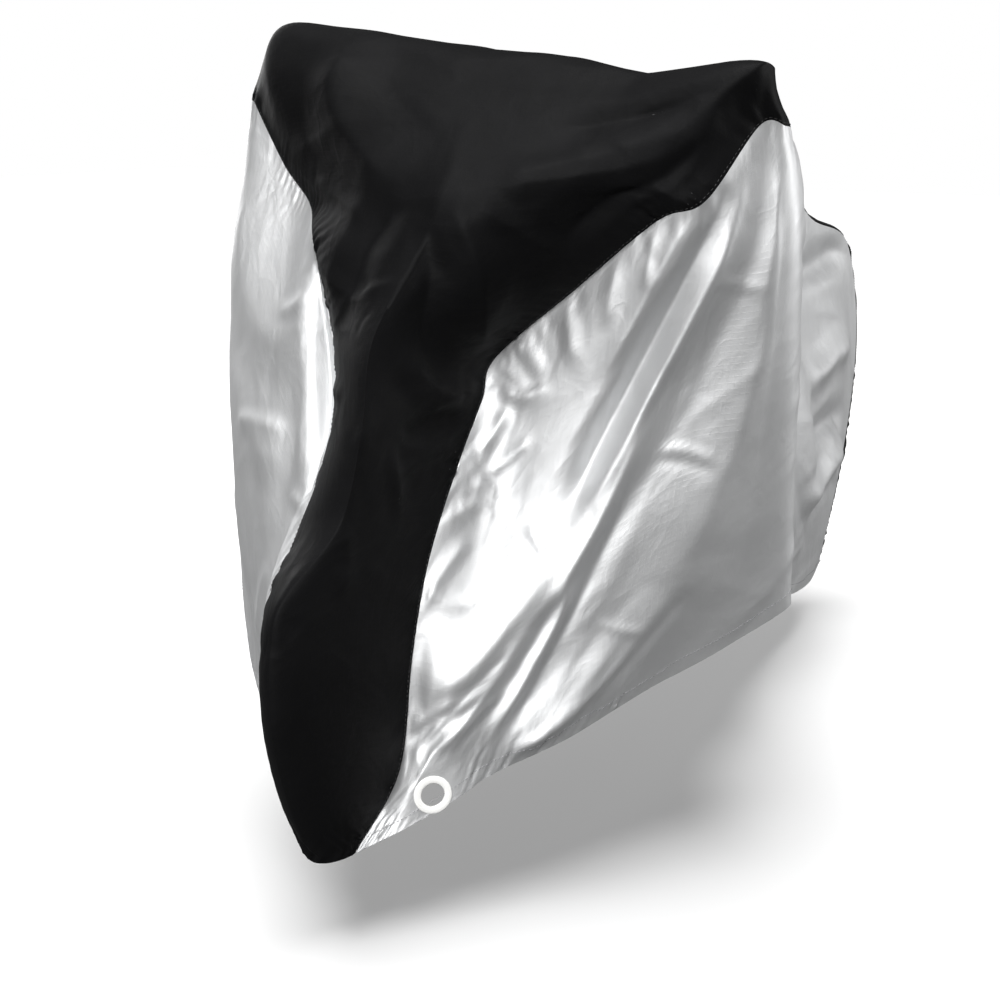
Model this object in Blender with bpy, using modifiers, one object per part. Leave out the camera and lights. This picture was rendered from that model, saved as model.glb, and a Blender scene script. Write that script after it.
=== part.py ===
"""A fitted bicycle cover: a black centre panel, two silver side panels, two eyelet strips and two eyelets.

Every size is in metres. The tables give places on the cover as it hangs, leaning a little to its own right:
x runs to its left side, y runs back from its nose and z runs up from the ground. The finished part has its
origin at CARRIED_AT, on the inner face of the cloth under the top of its cross ridge, where it is carried.
"""

from typing import NamedTuple

import bpy
import numpy as np
from mathutils import Vector

NAME = "bicycle_cover"
CARRIED_AT = (0.035, 0.160, 1.050)
THICKNESS = 0.0020                # the cloth of every panel
GAP = 0.0003                      # between two pieces
SEAM_HOLD = 0.030                 # folds die out over this distance from a seam

# The mesh: rows from hem to top seam, columns from front seam to rear seam, strips across the centre panel
ROWS = (0.0, 0.035, 0.075, 0.13, 0.19, 0.25, 0.31, 0.37, 0.43, 0.49, 0.55, 0.61, 0.67, 0.73, 0.79, 0.85, 0.90,
        0.95, 1.0)
FOLD_AT = 0.53                    # place along a side panel of the fold under its peak
FRONT_COLUMNS = 30                # as far as that fold
REAR_COLUMNS = 16                 # behind it
ACROSS = 14                       # faces across the centre panel
SHARP = 1.0                       # edges that turn by more radians than this stay crisp


class Section(NamedTuple):
    """One section across the centre panel: crown, shoulders and the seams with the side panels."""

    right: tuple        # the seam with the right side panel
    crown: tuple
    left: tuple
    fullness: float     # 0 is straight from crown to seam, 1 has its shoulder square over the seam
    roundness: float    # 1 is one even curve, less is a rounded corner between straight runs
    inward: float = 0   # how far the right shoulder lies in from the seam
    right_lift: float = 0   # how far a shoulder stands over the crown
    left_lift: float = 0


SECTIONS = (
    Section((-0.036, -0.135, 0.130), (0.004, -0.190, 0.122), (0.030, -0.145, 0.121), 0.85, 1.0),    # 0 front hem
    Section((-0.042, -0.165, 0.215), (0.010, -0.238, 0.215), (0.047, -0.078, 0.200), 0.85, 1.0, 0.010),
    Section((-0.046, -0.205, 0.330), (0.014, -0.268, 0.335), (0.057, -0.058, 0.350), 0.85, 1.0, 0.030),     # 2 nose
    Section((-0.050, -0.197, 0.425), (0.018, -0.258, 0.450), (0.061, -0.030, 0.455), 0.85, 1.0, 0.045),
    Section((-0.052, -0.125, 0.513), (0.050, -0.178, 0.545), (0.066, 0.028, 0.565), 0.80, 1.0, 0.035),      # 4 over the nose
    Section((-0.066, -0.048, 0.600), (0.055, -0.145, 0.640), (0.072, 0.074, 0.640), 0.70, 1.0, 0.060),
    Section((-0.090, -0.005, 0.705), (0.040, -0.100, 0.735), (0.081, 0.094, 0.692), 0.55, 1.0, 0.045),      # 6 neck
    Section((-0.142, 0.025, 0.824), (0.062, -0.055, 0.815), (0.180, 0.108, 0.777), 0.40, 1.0),
    Section((-0.200, 0.093, 0.862), (0.077, -0.020, 0.887), (0.280, 0.112, 0.859), 0.30, 0.9),      # 8 star
    Section((-0.265, 0.122, 0.910), (0.066, 0.040, 0.955), (0.338, 0.120, 0.885), 0.60, 0.8, 0.02, 0.02),
    Section((-0.330, 0.145, 0.986), (0.045, 0.100, 1.010), (0.372, 0.185, 0.966), 0.90, 0.35, 0.050, 0.04, 0.00),
    Section((-0.345, 0.165, 0.985), (0.035, 0.160, 1.052), (0.390, 0.212, 0.964), 1.00, 0.16, 0.056, 0.040, -0.008),
    Section((-0.332, 0.205, 0.985), (0.035, 0.215, 1.040), (0.380, 0.250, 0.960), 0.95, 0.30, 0.052, 0.030, -0.01),
    Section((-0.190, 0.330, 0.930), (0.034, 0.330, 1.000), (0.235, 0.350, 0.925), 0.80, 0.8),       # 13 behind the ridge
    Section((-0.090, 0.600, 0.880), (0.030, 0.600, 0.930), (0.135, 0.610, 0.880), 0.80, 1.0),
    Section((-0.080, 0.860, 0.895), (0.025, 0.860, 0.945), (0.115, 0.860, 0.890), 0.85, 1.0),       # 15 hump
    Section((-0.072, 1.060, 0.780), (0.022, 1.060, 0.820), (0.105, 1.060, 0.795), 0.80, 1.0),
    Section((-0.066, 1.300, 0.680), (0.018, 1.320, 0.730), (0.092, 1.300, 0.725), 0.90, 1.0),
    Section((-0.062, 1.400, 0.520), (0.014, 1.450, 0.520), (0.084, 1.400, 0.520), 0.85, 1.0),       # 18 tail
    Section((-0.060, 1.370, 0.320), (0.012, 1.430, 0.310), (0.080, 1.370, 0.310), 0.85, 1.0),
    Section((-0.050, 1.260, 0.140), (0.010, 1.310, 0.130), (0.080, 1.270, 0.115), 0.85, 1.0),       # 20 rear hem
)
NECK = 6            # the section where the front seams turn back along the top
REAR_NECK = 18      # the section where the rear seams turn down to the hem
REAR_HEM = 20


class Column(NamedTuple):
    """One column of a side panel, from the hem up to the seam with the centre panel."""

    at: float       # place along the panel, 0 at the front seam and 1 at the rear seam
    seam: float     # the section of the centre panel that it meets
    hem: tuple
    low: tuple      # a third of the way up
    high: tuple     # two thirds of the way up


LEFT_COLUMNS = (
    Column(0.00, 6.0, (0.030, -0.145, 0.121), (0.058, -0.058, 0.330), (0.066, 0.020, 0.550)),
    Column(0.10, 6.6, (0.088, -0.086, 0.156), (0.108, -0.025, 0.346), (0.105, 0.060, 0.540)),
    Column(0.20, 7.4, (0.133, -0.014, 0.193), (0.156, 0.021, 0.388), (0.160, 0.085, 0.580)),
    Column(0.30, 8.2, (0.188, 0.071, 0.227), (0.226, 0.089, 0.444), (0.245, 0.125, 0.650)),
    Column(0.40, 9.2, (0.249, 0.161, 0.267), (0.290, 0.159, 0.497), (0.320, 0.165, 0.720)),
    Column(0.48, 10.2, (0.315, 0.265, 0.306), (0.345, 0.240, 0.520), (0.370, 0.215, 0.750)),
    Column(0.53, 11.0, (0.372, 0.340, 0.350), (0.382, 0.295, 0.560), (0.386, 0.252, 0.770)),
    Column(0.58, 11.6, (0.350, 0.390, 0.345), (0.360, 0.370, 0.560), (0.365, 0.330, 0.770)),
    Column(0.66, 12.8, (0.270, 0.520, 0.300), (0.280, 0.500, 0.510), (0.265, 0.440, 0.730)),
    Column(0.75, 14.2, (0.190, 0.780, 0.220), (0.200, 0.760, 0.430), (0.170, 0.700, 0.670)),
    Column(0.84, 15.4, (0.130, 1.000, 0.140), (0.150, 1.020, 0.370), (0.130, 1.000, 0.600)),
    Column(0.93, 17.0, (0.105, 1.160, 0.115), (0.120, 1.220, 0.330), (0.112, 1.230, 0.540)),
    Column(1.00, 18.0, (0.080, 1.270, 0.115), (0.080, 1.350, 0.300), (0.082, 1.380, 0.430)),
)
RIGHT_COLUMNS = (
    Column(0.00, 6.0, (-0.036, -0.135, 0.130), (-0.046, -0.205, 0.330), (-0.055, -0.110, 0.530)),
    Column(0.10, 6.6, (-0.095, -0.115, 0.165), (-0.106, -0.130, 0.370), (-0.106, -0.061, 0.562)),
    Column(0.22, 7.6, (-0.160, -0.080, 0.235), (-0.174, -0.070, 0.430), (-0.174, -0.025, 0.630)),
    Column(0.34, 8.6, (-0.235, -0.022, 0.300), (-0.248, -0.006, 0.500), (-0.252, 0.034, 0.710)),
    Column(0.44, 9.6, (-0.296, 0.048, 0.370), (-0.314, 0.058, 0.560), (-0.318, 0.092, 0.770)),
    Column(0.50, 10.8, (-0.318, 0.112, 0.395), (-0.338, 0.104, 0.590), (-0.342, 0.124, 0.790)),
    Column(0.56, 11.8, (-0.316, 0.180, 0.395), (-0.332, 0.180, 0.590), (-0.336, 0.190, 0.780)),
    Column(0.66, 12.8, (-0.270, 0.400, 0.340), (-0.270, 0.400, 0.530), (-0.240, 0.370, 0.740)),
    Column(0.75, 14.2, (-0.180, 0.760, 0.240), (-0.180, 0.740, 0.440), (-0.140, 0.690, 0.670)),
    Column(0.84, 15.4, (-0.110, 1.000, 0.150), (-0.130, 1.020, 0.370), (-0.110, 1.000, 0.600)),
    Column(0.93, 17.0, (-0.080, 1.150, 0.130), (-0.100, 1.220, 0.330), (-0.090, 1.230, 0.540)),
    Column(1.00, 18.0, (-0.050, 1.260, 0.140), (-0.060, 1.350, 0.300), (-0.062, 1.380, 0.430)),
)


class Fold(NamedTuple):
    """One fold: a line over the panel through three places, and the ridge or trough along it."""

    start: tuple        # (section, across) on the centre panel, (at, height) on a side panel
    middle: tuple
    end: tuple
    left: float         # width of the slope on the left of the line, seen from outside
    right: float
    height: float       # of the ridge; below zero it is a trough


CENTRE_FOLDS = (
    Fold((10.6, -0.45), (9.2, -0.42), (7.9, -0.15), 0.070, 0.070, 0.020),       # right peak to the star
    Fold((8.05, 0.02), (7.0, 0.40), (5.9, 0.97), 0.055, 0.060, 0.016),          # star down to the neck
    Fold((7.95, 0.00), (6.7, 0.20), (5.0, 0.94), 0.040, 0.040, -0.008),         # foot of the bright wedge
    Fold((7.95, 0.02), (8.75, 0.55), (9.95, 0.92), 0.060, 0.050, 0.014),         # star to the left peak
    Fold((7.2, 0.72), (8.5, 0.73), (9.9, 0.93), 0.050, 0.050, -0.014),          # hollow over the seam
    Fold((9.3, 0.30), (9.6, 0.48), (9.85, 0.70), 0.035, 0.040, -0.010),        # hollow under the cross ridge
    Fold((8.0, -0.20), (7.1, -0.35), (6.1, -0.45), 0.050, 0.050, -0.010),       # hollow beside the star
    Fold((5.9, 0.35), (5.4, 0.65), (4.85, 0.95), 0.050, 0.040, 0.012),          # fold at the neck
    Fold((4.85, 0.95), (4.85, 0.70), (4.6, 0.45), 0.035, 0.035, -0.010),        # crease under it
    Fold((9.8, 0.45), (11.1, 0.46), (12.5, 0.53), 0.220, 0.220, -0.026),        # dip in the cross ridge
    Fold((11.9, 0.10), (13.5, 0.15), (14.8, 0.00), 0.060, 0.060, 0.012),        # ridge back to the hump
    Fold((12.0, -0.60), (12.9, -0.50), (14.0, -0.40), 0.060, 0.050, -0.012),    # hollow behind the cross ridge
)
LEFT_FOLDS = (
    Fold((0.49, 0.97), (0.465, 0.56), (0.39, 0.15), 0.150, 0.080, 0.024),       # edge of the face under the peak
    Fold((0.43, 0.28), (0.35, 0.10), (0.23, 0.02), 0.090, 0.060, 0.014),        # the same edge down to the hem
    Fold((0.45, 0.98), (0.34, 0.66), (0.23, 0.38), 0.045, 0.024, 0.016),        # bright band
    Fold((0.37, 0.97), (0.26, 0.76), (0.21, 0.52), 0.040, 0.080, 0.011),        # grey band beside it
    Fold((0.26, 0.45), (0.16, 0.32), (0.01, 0.27), 0.028, 0.110, 0.016),        # foot of the bright face
    Fold((0.34, 0.62), (0.27, 0.40), (0.11, 0.15), 0.020, 0.018, 0.008),        # long folds to the hem
    Fold((0.33, 0.54), (0.29, 0.32), (0.21, 0.05), 0.026, 0.020, -0.008),
    Fold((0.27, 0.38), (0.245, 0.24), (0.18, 0.07), 0.018, 0.018, 0.008),
    Fold((0.36, 0.18), (0.29, 0.08), (0.22, 0.02), 0.020, 0.040, 0.010),        # bright wedge at the hem
    Fold((0.60, 0.97), (0.66, 0.55), (0.72, 0.00), 0.100, 0.100, 0.020),        # behind the peak
    Fold((0.78, 0.97), (0.80, 0.60), (0.84, 0.10), 0.080, 0.080, 0.018),        # under the hump
    Fold((0.93, 0.97), (0.88, 0.87), (0.81, 0.74), 0.036, 0.060, -0.020),       # hollow under the hump
    Fold((0.96, 0.80), (0.89, 0.62), (0.81, 0.56), 0.045, 0.050, 0.022),        # fin over the tail
    Fold((0.97, 0.62), (0.91, 0.47), (0.82, 0.42), 0.032, 0.050, -0.018),       # hollow under it
    Fold((0.96, 0.46), (0.88, 0.32), (0.80, 0.24), 0.040, 0.045, 0.020),        # lower fold
)
RIGHT_FOLDS = (
    Fold((0.24, 0.94), (0.10, 0.82), (0.05, 0.45), 0.050, 0.050, 0.003),        # from the neck down
    Fold((0.46, 0.95), (0.36, 0.70), (0.12, 0.90), 0.080, 0.060, 0.012),        # V under the peak
    Fold((0.40, 0.60), (0.25, 0.55), (0.10, 0.74), 0.060, 0.050, 0.008),
    Fold((0.45, 0.80), (0.40, 0.50), (0.20, 0.10), 0.080, 0.060, 0.010),        # long fold to the hem
    Fold((0.60, 0.97), (0.66, 0.55), (0.70, 0.00), 0.100, 0.100, 0.020),        # behind the peak
    Fold((0.78, 0.97), (0.80, 0.60), (0.86, 0.10), 0.080, 0.080, 0.016),        # under the hump
    Fold((0.96, 0.90), (0.90, 0.60), (0.88, 0.30), 0.060, 0.060, 0.014),        # over the tail
)

# The eyelet strips: a piece of the hem on each side of the nose, and its eyelet
STRIP_COLUMNS = (2, 9)            # mesh columns between which the strip lies
STRIP_ROWS = 3                    # mesh rows from the hem up
EYELET_AT = 0.107                 # place of the eyelet along the side panel
EYELET_HEIGHT = 0.046             # and up it
FLAT_RADIUS = 0.028               # the cloth is flat this far around the eyelet
FLAT_FADE = 0.040                 # and takes up its folds over this distance
HOLE_RADIUS = 0.0163
RING_BORE = 0.0145
RING_TUBE = 0.0160
RING_RADIUS = 0.0235
RING_RISE = 0.0014                # how far the ring stands over the cloth
RING_SEGMENTS = 24


def smooth(knots, rows, at):
    """Return the smooth curve through the rows: cubics that share each row's slope."""
    slopes = np.gradient(rows, knots, axis=0)
    k = np.clip(np.searchsorted(knots, at, side="right") - 1, 0, len(knots) - 2)
    span = (knots[k + 1] - knots[k])[..., None]
    t = (at - knots[k])[..., None] / span
    return ((2 * t**3 - 3 * t**2 + 1) * rows[k] + (t**3 - 2 * t**2 + t) * span * slopes[k]
            + (3 * t**2 - 2 * t**3) * rows[k + 1] + (t**3 - t**2) * span * slopes[k + 1])


def ease(x):
    """Return the rise from 0 to 1 that starts and ends level."""
    x = np.clip(x, 0, 1)
    return x * x * (3 - 2 * x)


def unit(vectors):
    """Return the vectors at length 1."""
    return vectors / np.maximum(np.linalg.norm(vectors, axis=-1, keepdims=True), 1e-12)


SECTION_ROWS = np.array([[*s.right, *s.crown, *s.left, *s[3:]] for s in SECTIONS])
REACH = np.append(0, np.cumsum(np.linalg.norm(np.diff(SECTION_ROWS[:, 3:6], axis=0), axis=1)))


def centre_point(section, across):
    """Return points of the centre panel, from -1 at the right seam over 0 at the crown to 1 at the left seam."""
    row = smooth(REACH, SECTION_ROWS, np.interp(section, np.arange(len(REACH)), REACH))
    right, crown, left = row[..., 0:3], row[..., 3:6], row[..., 6:9]
    fullness, roundness, inward, right_lift, left_lift = (row[..., k] for k in range(9, 14))
    on_right = across < 0
    seam = np.where(on_right[..., None], right, left)
    square = np.stack([seam[..., 0] + np.where(on_right, inward, 0), crown[..., 1],
                       crown[..., 2] + np.where(on_right, right_lift, left_lift)], axis=-1)
    chord = (crown + seam) / 2
    shoulder = chord + (square - chord) * fullness[..., None]
    first = np.linalg.norm(shoulder - crown, axis=-1)
    second = np.linalg.norm(seam - shoulder, axis=-1)
    reach = np.abs(across) * (first + second)
    bend = roundness * (first + second)
    run = (1 - roundness) * first
    t = np.clip((reach - run) / bend, 0, 1)[..., None]
    begin = shoulder + (crown - shoulder) * roundness[..., None]
    end = shoulder + (seam - shoulder) * roundness[..., None]
    before = np.clip(run - reach, 0, None) / first
    after = np.clip(reach - run - bend, 0, None) / second
    return ((1 - t) ** 2 * begin + 2 * t * (1 - t) * shoulder + t**2 * end
            + (crown - shoulder) * before[..., None] + (seam - shoulder) * after[..., None])


class Side:
    """One side panel: its columns, its folds, and which seam of the centre panel it is sewn to."""

    def __init__(self, columns, folds, seam):
        self.at = np.array([c.at for c in columns])
        self.rows = np.array([[c.seam, *c.hem, *c.low, *c.high] for c in columns])
        self.folds = folds
        self.seam = seam

    def seam_section(self, at):
        """Return the section of the centre panel that the panel meets at this place."""
        return smooth(self.at, self.rows, at)[..., 0]

    def _through_columns(self, at, height):
        row = smooth(self.at, self.rows, at)
        top = centre_point(row[..., 0], np.full(np.shape(at), self.seam))
        levels = np.array([0, 1 / 3, 2 / 3, 1])
        posts = np.stack([row[..., 1:4], row[..., 4:7], row[..., 7:10], top])
        slopes = np.gradient(posts, levels, axis=0)
        k = np.clip(np.floor(height * 3).astype(int), 0, 2)
        t = (height * 3 - k)[..., None]

        def pick(values, level):
            return np.take_along_axis(values, level[None, ..., None], axis=0)[0]

        return ((2 * t**3 - 3 * t**2 + 1) * pick(posts, k) + (t**3 - 2 * t**2 + t) / 3 * pick(slopes, k)
                + (3 * t**2 - 2 * t**3) * pick(posts, k + 1) + (t**3 - t**2) / 3 * pick(slopes, k + 1))

    def point(self, at, height):
        """Return points of the panel, which near its front and rear ends bends onto the seams there."""
        points = self._through_columns(at, height)
        for end, hem, top in ((0.0, 0, NECK), (1.0, REAR_HEM, REAR_NECK)):
            seam = centre_point(hem + (top - hem) * height, np.full(np.shape(height), self.seam))
            miss = seam - self._through_columns(np.full(np.shape(height), end), height)
            points = points + miss * ease(1 - np.abs(at - end) / 0.12)[..., None]
        return points


def off_run(points, start, end):
    """Return the place along a straight run that is nearest each point, as a share, and the way from it."""
    run = end - start
    t = np.clip((points - start) @ run / (run @ run), 0, 1)
    return t, points - start - t[..., None] * run


def off_line(points, line):
    """Return each point's distance to a line of straight runs."""
    return np.min([np.linalg.norm(off_run(points, start, end)[1], axis=-1)
                   for start, end in zip(line[:-1], line[1:])], axis=0)


def outward(points, hand):
    """Return the outward normals of a grid of points, whose hand is -1 where its rows run the other way round."""
    return hand * unit(np.cross(np.gradient(points, axis=0), np.gradient(points, axis=1)))


def fold_line(fold, surface):
    """Return the line of a fold, the curve through its three places laid on the surface."""
    t = np.linspace(0, 1, 13)
    share = ((1 - t) * (1 - 2 * t), 4 * t * (1 - t), t * (2 * t - 1))
    a, b = (sum(s * place[k] for s, place in zip(share, fold[:3])) for k in (0, 1))
    return surface(a, b)


def fold_rise(points, normals, fold, line):
    """Return a fold's share of its height at each point: the highest that any run of its line gives there.

    The share falls off over the fold's width, which goes over from the left one to the right one round the
    line's ends, and rises and dies along the line, unless it ends at the hem.
    """
    rise = np.zeros(points.shape[:-1])
    for k, (start, end) in enumerate(zip(line[:-1], line[1:])):
        t, off = off_run(points, start, end)
        distance = np.linalg.norm(off, axis=-1)
        side = (np.cross(normals, unit(end - start)) * off).sum(axis=-1) / np.maximum(distance, 1e-9)
        width = (fold.left + fold.right + (fold.left - fold.right) * side) / 2
        slope = np.clip(1 - distance / width, 0, 1)
        along = (k + t) / (len(line) - 1)
        to_hem = 1 if fold.end[1] == 0 else ease((1 - along) / 0.25)
        rise = np.maximum(rise, (0.6 * slope**2 + 0.4 * ease(slope)) * ease(along / 0.25) * to_hem)
    return rise


def folded(points, normals, surface, folds, seams):
    """Raise the folds on a grid of points. They die out towards the seams, which stay in place."""
    rise = sum(fold.height * fold_rise(points, normals, fold, fold_line(fold, surface)) for fold in folds)
    for seam in seams:
        rise = rise * ease(off_line(points, seam) / SEAM_HOLD)
    return points + normals * rise[..., None]


def flattened(points, centre, axis):
    """Lay the points around an eyelet in its plane."""
    above = (points - centre) @ axis
    reach = np.linalg.norm(points - centre, axis=-1)
    return points - (above * ease(1 - (reach - FLAT_RADIUS) / FLAT_FADE))[..., None] * axis


def solid_of(outer, lean, cells, hand):
    """Return the vertices and triangles of the cloth on some cells of a grid.

    The outer face takes the grid's points, the inner face lies a thickness behind them along lean, and a rim
    closes the edges. Both faces split a cell along the same diagonal, so the cloth keeps its thickness.
    """
    count = outer.shape[0] * outer.shape[1]
    number = np.arange(count).reshape(outer.shape[:2])
    a, b, c, d = (number[i:i + cells.shape[0], j:j + cells.shape[1]][cells]
                  for i, j in ((0, 0), (1, 0), (1, 1), (0, 1)))
    flat = outer.reshape(-1, 3)
    short = np.linalg.norm(flat[a] - flat[c], axis=1) < np.linalg.norm(flat[b] - flat[d], axis=1)
    halves = np.where(short[:, None], np.stack([a, b, c, a, c, d], axis=1), np.stack([a, b, d, b, c, d], axis=1))
    faces = halves.reshape(-1, 3)[:, ::hand]
    vertices = np.concatenate([flat, flat - THICKNESS * lean.reshape(-1, 3)])
    edges = {(p, q) for face in faces.tolist() for p, q in zip(face, face[1:] + face[:1])}
    walls = []
    for p, q in sorted(edges):
        if (q, p) not in edges:
            down, up = vertices[p] - vertices[q + count], vertices[q] - vertices[p + count]
            if down @ down < up @ up:
                walls += [(q, p, q + count), (p, p + count, q + count)]
            else:
                walls += [(q, p, p + count), (q, p + count, q + count)]
    return vertices, np.concatenate([faces, faces[:, ::-1] + count, np.array(walls)])


def add_mesh(name, vertices, faces, finish, collection):
    """Make a mesh object of the vertices that the faces use, moved to the part's own origin."""
    used, numbers = np.unique(faces, return_inverse=True)
    mesh = bpy.data.meshes.new(name)
    mesh.from_pydata((vertices[used] - CARRIED_AT).tolist(), [], numbers.reshape(-1, 3).tolist())
    mesh.shade_smooth()
    mesh.set_sharp_from_angle(angle=SHARP)
    mesh.materials.append(finish)
    made = bpy.data.objects.new(name, mesh)
    collection.objects.link(made)
    return made


def material(name, colour, roughness, metallic=0.0):
    """Return a plain Principled material."""
    made = bpy.data.materials.new(name)
    made.use_nodes = True
    shader = made.node_tree.nodes["Principled BSDF"]
    shader.inputs["Base Color"].default_value = (*colour, 1)
    shader.inputs["Roughness"].default_value = roughness
    shader.inputs["Metallic"].default_value = metallic
    return made


def seam_path(columns, rows):
    """Return the grid indices along a side panel's seam: up its front, back along its top, down its rear."""
    front = [(0, j) for j in range(rows)]
    top = [(i, rows - 1) for i in range(1, columns)]
    rear = [(columns - 1, j) for j in range(rows - 2, -1, -1)]
    return tuple(np.array(front + top + rear).T)


def clear_of_cut(outer, cells):
    """Move the points on the edge between the cells and the rest of the grid a little into the cells."""
    moved = outer.copy()
    columns, rows = outer.shape[:2]
    for i in range(columns):
        for j in range(rows):
            around = [(a, b) for a in (i - 1, i) for b in (j - 1, j)
                      if 0 <= a < columns - 1 and 0 <= b < rows - 1]
            own = [cell for cell in around if cells[cell]]
            if own and len(own) < len(around):
                middle = np.mean([outer[a:a + 2, b:b + 2].mean(axis=(0, 1)) for a, b in own], axis=0)
                moved[i, j] += unit(middle - outer[i, j]) * GAP * 0.6
    return moved


def ring_section():
    """Return the eyelet's section as (radius, height), with a groove that holds the cloth."""
    half = THICKNESS / 2 + GAP
    top = half + RING_RISE
    return ((RING_BORE, top - 0.0004), (RING_BORE + 0.0012, top), (RING_RADIUS - 0.0018, top),
            (RING_RADIUS, half + 0.0005), (RING_RADIUS, half), (RING_TUBE, half), (RING_TUBE, -half),
            (RING_RADIUS - 0.0010, -half), (RING_RADIUS - 0.0010, -half - 0.0005),
            (RING_RADIUS - 0.0028, -top), (RING_BORE + 0.0012, -top), (RING_BORE, 0.0004 - top))


def add_eyelet(name, centre, axis, finish, collection):
    """Make an eyelet: its closed section turned about its axis by a Screw modifier."""
    section = ring_section()
    count = len(section)
    mesh = bpy.data.meshes.new(name)
    mesh.from_pydata([(r, 0, z) for r, z in section], [(k, (k + 1) % count) for k in range(count)], [])
    mesh.materials.append(finish)
    made = bpy.data.objects.new(name, mesh)
    turn = made.modifiers.new("turn", "SCREW")
    turn.axis = "Z"
    turn.steps = turn.render_steps = RING_SEGMENTS
    turn.use_merge_vertices = True
    turn.merge_threshold = 0.00005
    turn.use_smooth_shade = True
    made.rotation_euler = Vector(axis).to_track_quat("Z", "Y").to_euler()
    made.location = Vector(centre) - Vector(CARRIED_AT)
    collection.objects.link(made)
    return made


def cut_hole(strip, centre, axis, cutters):
    """Cut the eyelet's hole through a strip with a plain cylinder."""
    bpy.ops.mesh.primitive_cylinder_add(vertices=RING_SEGMENTS, radius=HOLE_RADIUS, depth=10 * THICKNESS)
    cutter = bpy.context.object
    cutter.name = f"{strip.name}_cutter"
    cutter.rotation_euler = Vector(axis).to_track_quat("Z", "Y").to_euler()
    cutter.location = Vector(centre) - Vector(CARRIED_AT)
    cutter.hide_render = True
    cutter.display_type = "WIRE"
    for home in list(cutter.users_collection):
        home.objects.unlink(cutter)
    cutters.objects.link(cutter)
    cut = strip.modifiers.new("hole", "BOOLEAN")
    cut.object = cutter
    cut.operation = "DIFFERENCE"
    cut.solver = "EXACT"


def build():
    """Build the cover."""
    for old in list(bpy.data.objects):
        bpy.data.objects.remove(old)
    collection = bpy.data.collections.new(NAME)
    cutters = bpy.data.collections.new(f"{NAME}_cutters")
    for made in (collection, cutters):
        bpy.context.scene.collection.children.link(made)
    black = material("black_cloth", (0.015, 0.015, 0.016), 0.55)
    silver = material("silver_cloth", (0.50, 0.51, 0.52), 0.38, 0.5)
    white = material("white_plastic", (0.85, 0.85, 0.83), 0.35)

    heights = np.array(ROWS)
    places = np.append(np.linspace(0, FOLD_AT, FRONT_COLUMNS), np.linspace(FOLD_AT, 1, REAR_COLUMNS)[1:])
    at, height = np.meshgrid(places, heights, indexing="ij")
    sides = {"left": (Side(LEFT_COLUMNS, LEFT_FOLDS, 1), 1), "right": (Side(RIGHT_COLUMNS, RIGHT_FOLDS, -1), -1)}

    def sections_along(side):
        front = heights * NECK
        rear = REAR_HEM + (REAR_NECK - REAR_HEM) * heights[-2::-1]
        return np.concatenate([front, side.seam_section(places[1:]), rear])

    right_run, left_run = (sections_along(sides[name][0]) for name in ("right", "left"))
    across = np.linspace(-1, 1, ACROSS + 1)[:, None]
    section = right_run * (1 - across) / 2 + left_run * (1 + across) / 2
    centre = centre_point(section, np.broadcast_to(across, section.shape))
    centre_normals = outward(centre, 1)
    seams = {"left": centre[-1].copy(), "right": centre[0].copy()}
    centre = folded(centre, centre_normals, centre_point, CENTRE_FOLDS, seams.values())
    lean = outward(centre, 1)

    path = seam_path(len(places), len(heights))
    for name, (side, hand) in sides.items():
        points = side.point(at, height)
        normals = outward(points, hand)
        points = folded(points, normals, side.point, side.folds, [seams[name]])
        spot = side.point(np.array(EYELET_AT), np.array(EYELET_HEIGHT))
        near = np.array([[EYELET_AT - 0.01, EYELET_HEIGHT], [EYELET_AT + 0.01, EYELET_HEIGHT],
                         [EYELET_AT, EYELET_HEIGHT - 0.02], [EYELET_AT, EYELET_HEIGHT + 0.02]])
        fore, aft, low, high = side.point(near[:, 0], near[:, 1])
        axis = hand * unit(np.cross(aft - fore, high - low))
        points = flattened(points, spot, axis)
        side_lean = outward(points, hand)
        edge = -1 if hand > 0 else 0
        shared = unit(side_lean[path] + lean[edge])
        sideways = hand * unit(np.cross(shared, np.gradient(seams[name], axis=0))) * GAP / 2
        side_lean[path] = lean[edge] = shared
        points[path] = seams[name] - sideways
        centre[edge] = seams[name] + sideways

        in_strip = np.zeros((len(places) - 1, len(heights) - 1), dtype=bool)
        in_strip[STRIP_COLUMNS[0]:STRIP_COLUMNS[1], :STRIP_ROWS] = True
        add_mesh(f"side_panel_{name}", *solid_of(clear_of_cut(points, ~in_strip), side_lean, ~in_strip, hand),
                 silver, collection)
        strip = add_mesh(f"eyelet_strip_{name}",
                         *solid_of(clear_of_cut(points, in_strip), side_lean, in_strip, hand), silver, collection)
        middle = spot - axis * THICKNESS / 2
        cut_hole(strip, middle, axis, cutters)
        add_eyelet(f"eyelet_{name}", middle, axis, white, collection)
    every = np.ones((ACROSS, centre.shape[1] - 1), dtype=bool)
    add_mesh("centre_panel", *solid_of(centre, lean, every, 1), black, collection)


build()
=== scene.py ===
import logging
import math
from dataclasses import dataclass
from enum import Enum
from typing import Callable, NamedTuple, Sequence

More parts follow.
